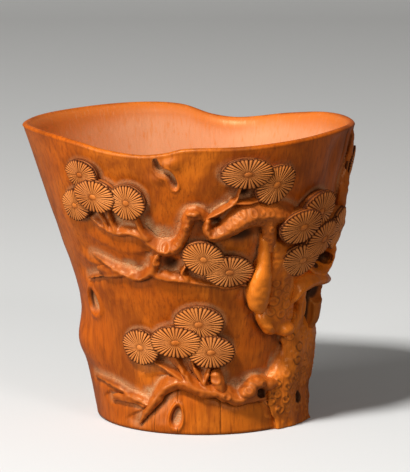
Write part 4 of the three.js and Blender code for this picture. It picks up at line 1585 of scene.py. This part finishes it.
class CUP_OT_wall(bpy.types.Operator):
    """Carve the wall, its knots, slit and cracks, and hollow the bowl"""

    bl_idname = "cup.wall"
    bl_label = "Carve Wall"

    def execute(self, context):
        sizes = context.scene.cup_wall
        counts = [n for n in (sizes.columns, sizes.rows)]
        wall = mesh_object("carved_wall", *wall_mesh(*counts, sizes.ground_depth))
        material = boxwood("boxwood_wall", tuple(sizes.colour), pale_and_lit=tuple(sizes.bowl_colour_and_light))
        settle(wall, ["cup_wall"], material)
        return {"FINISHED"}


# How deep a fan's stem goes below its lift, in millimetres
FAN_ROOT = 0.9


class CUP_OT_fans(bpy.types.Operator):
    """Carve the needle fans"""

    bl_idname = "cup.fans"
    bl_label = "Carve Needle Fans"

    def execute(self, context):
        sizes = context.scene.cup_fans
        # Light wood for clouds and the needles' painted highlight, dark wood, and the brown of
        # their painted shade
        woods = linear(238, 150, 78), linear(166, 80, 22), linear(78, 28, 6)
        material = boxwood("boxwood_needles", tuple(sizes.colour), *woods, gloss=0.46, grain=0.5)
        tree = needle_fan_tree()
        for number, (*place, lift) in FANS.items():
            name = f"pine_fan_{number:02d}"
            fan = new_object(name, bpy.data.meshes.new(name))
            size = math.sqrt(place[2] * place[3])
            values = {
                "Needles": sizes.needles + (number * 5) % 5 - 2,
                "Drop": sizes.drop,
                "Crest": 0.9 * FAN_DEPTH / size - 0.02,
                "Pad Depth": (lift + FAN_ROOT) / size,
                "Seed": number * 13,
                "Material": material,
            }
            run_tree(fan, tree, values)
            lay_on_wall(fan, place, lift, LEANS.get(number, (0.0, 0.0)))
            settle(fan, [f"needle_fan_{number:02d}"], material)
        return {"FINISHED"}


def lay_on_wall(fan, place, lift, lean):
    """Bends a flat fan one unit in radius onto the wall."""
    angle, level, across, up, tilt = place
    x, y, z = points_of(fan.data).T
    turn = math.radians(tilt)
    side = x * across * math.cos(turn) - y * up * math.sin(turn)
    rise = x * across * math.sin(turn) + y * up * math.cos(turn)
    out = CLEARANCE + lift + z * math.sqrt(across * up)
    out = out + (lean[0] * x + lean[1] * y) * held(z)
    placed = beside(angle, level, side, rise, out) * MM
    fan.data.vertices.foreach_set("co", placed.ravel())
    face_out(fan.data)


class CUP_OT_branches(bpy.types.Operator):
    """Carve the branches and their ringed bark"""

    bl_idname = "cup.branches"
    bl_label = "Carve Branches"

    def execute(self, context):
        colour, light = tuple(context.scene.cup_branches.colour), linear(200, 105, 34)
        material = boxwood("boxwood_branches", colour, light, gloss=0.4, grain=0.6)
        carve_all(context, LIMBS, material, 40)
        return {"FINISHED"}


class CUP_OT_trunk(bpy.types.Operator):
    """Carve the trunk"""

    bl_idname = "cup.trunk"
    bl_label = "Carve Trunk"

    def execute(self, context):
        colour, light = tuple(context.scene.cup_branches.trunk_colour), linear(230, 126, 34)
        material = boxwood("boxwood_trunk", colour, light, gloss=0.38, grain=0.6)
        carve_all(context, TRUNK, material, 80)
        return {"FINISHED"}


def carve_all(context, shapes, material, seed):
    """Carves each shape and settles it, with ring marks where it has bark."""
    sizes, depth = context.scene.cup_branches, context.scene.cup_wall.ground_depth
    tree = bark_tree()
    for k, (name, shape) in enumerate(shapes.items()):
        made = carve_limb(f"{name}_carved", shape, seed + 3 * k, depth)
        values = {
            "Spacing": sizes.ring_spacing,
            "Ring Radius": sizes.ring_radius,
            "Ring Height": sizes.ring_height,
            "Seed": seed + k,
            "Material": material,
        }
        if shape.get("bark"):
            run_tree(made, tree, values)
        paint_ridge_highlight_and_crease_shade(made)
        settle(made, [name], material)


class CUP_OT_stage(bpy.types.Operator):
    """Set the floor, the camera and the lamps"""

    bl_idname = "cup.stage"
    bl_label = "Set Stage"

    def execute(self, context):
        sizes = context.scene.cup_stage
        set_floor(tuple(sizes.floor_colour))
        set_camera(context, sizes.camera_distance, sizes.camera_rise)
        set_lamps(context)
        context.scene.view_settings.view_transform = "Standard"
        return {"FINISHED"}


DIM_PAPER = linear(118, 116, 114)
CAMERA_AIM = Vector((0.001, 0.0, 0.0638))
CAMERA_LENS = 322.3
SENSOR = 36.0

# Soft key and fill from the left, and a weak lamp from the right: place, size, power
LAMPS = {
    "key": ((-0.5, -0.75, 1.25), 0.24, 27.0),
    "fill": ((-1.25, -0.9, 0.4), 0.7, 13.0),
    "side": ((0.7, -1.2, 0.8), 0.4, 4.5),
}
LAMP_AIM = Vector((0.0, 0.0, 0.06))


def set_camera(context, distance, rise):
    """The camera at the photograph's angle."""
    data = bpy.data.cameras.new("view")
    data.lens = CAMERA_LENS
    data.sensor_width = SENSOR
    data.clip_start = 0.05
    data.clip_end = 20.0
    camera = new_object("view", data)
    back = Vector((0.0, -math.cos(rise), math.sin(rise)))
    camera.location = CAMERA_AIM + back * distance
    camera.rotation_euler = (-back).to_track_quat("-Z", "Y").to_euler()
    context.scene.camera = camera


def set_floor(colour):
    """A pale floor that curves up into a backdrop."""
    turns = np.linspace(0, math.pi / 2, 13)[1:]
    bend = [(1.0 + 0.5 * math.sin(t), 0.5 * (1 - math.cos(t))) for t in turns]
    outline = [(-1.6, 0.0), (1.0, 0.0), *bend, (1.5, 2.2)]
    points = [(x, y, z) for y, z in outline for x in (-2.2, 2.2)]
    faces = [(2 * k, 2 * k + 1, 2 * k + 3, 2 * k + 2) for k in range(len(outline) - 1)]
    mesh = bpy.data.meshes.new("studio_floor")
    mesh.from_pydata(points, [], faces)
    mesh.shade_smooth()
    floor = new_object("studio_floor", mesh)
    material = bpy.data.materials.new("studio_paper")
    material.use_nodes = True
    nodes = Nodes(material.node_tree)
    sockets = nodes.tree.nodes["Principled BSDF"].inputs
    seen = nodes.add("ShaderNodeLightPath").outputs["Is Camera Ray"]
    nodes.tree.links.new(nodes.mix(seen, DIM_PAPER, colour), sockets["Base Color"])
    sockets["Roughness"].default_value = 0.85
    sockets["Specular IOR Level"].default_value = 0.2
    mesh.materials.append(material)


def set_lamps(context):
    """The lamps, and pale surroundings."""
    for name, (place, size, power) in LAMPS.items():
        data = bpy.data.lights.new(name, "AREA")
        data.size = size
        data.energy = power
        lamp = new_object(name, data)
        lamp.location = place
        lamp.rotation_euler = (LAMP_AIM - lamp.location).to_track_quat("-Z", "Y").to_euler()
    world = bpy.data.worlds.new("studio")
    world.use_nodes = True
    background = world.node_tree.nodes["Background"]
    background.inputs["Color"].default_value = (1.0, 0.96, 0.9, 1.0)
    background.inputs["Strength"].default_value = 0.11
    context.scene.world = world


class CUP_PT_panel(bpy.types.Panel):
    """Lists the steps that make the cup"""

    bl_idname = "CUP_PT_panel"
    bl_label = "Boxwood Cup"
    bl_space_type = "VIEW_3D"
    bl_region_type = "UI"
    bl_category = "Boxwood Cup"

    def draw(self, context):
        for group, operators in PANEL_ROWS:
            box = self.layout.box()
            settings = getattr(context.scene, group)
            for key in settings.__annotations__:
                box.prop(settings, key)
            for operator in operators:
                box.operator(operator)


PANEL_ROWS = [
    ("cup_stage", ["cup.stage"]),
    ("cup_wall", ["cup.wall"]),
    ("cup_fans", ["cup.fans"]),
    ("cup_branches", ["cup.branches", "cup.trunk"]),
]
SETTINGS = {
    "cup_wall": WallSettings,
    "cup_fans": FanSettings,
    "cup_branches": BranchSettings,
    "cup_stage": StageSettings,
}
CLASSES = [
    *SETTINGS.values(),
    CUP_OT_wall,
    CUP_OT_fans,
    CUP_OT_branches,
    CUP_OT_trunk,
    CUP_OT_stage,
    CUP_PT_panel,
]


def register():
    for cls in CLASSES:
        bpy.utils.register_class(cls)
    for name, group in SETTINGS.items():
        setattr(bpy.types.Scene, name, PointerProperty(type=group))


def unregister():
    for name in SETTINGS:
        delattr(bpy.types.Scene, name)
    for cls in reversed(CLASSES):
        bpy.utils.unregister_class(cls)


def main():
    register()
    for _, operators in PANEL_ROWS:
        for operator in operators:
            group, name = operator.split(".")
            getattr(getattr(bpy.ops, group), name)()


if __name__ == "__main__":
    main()
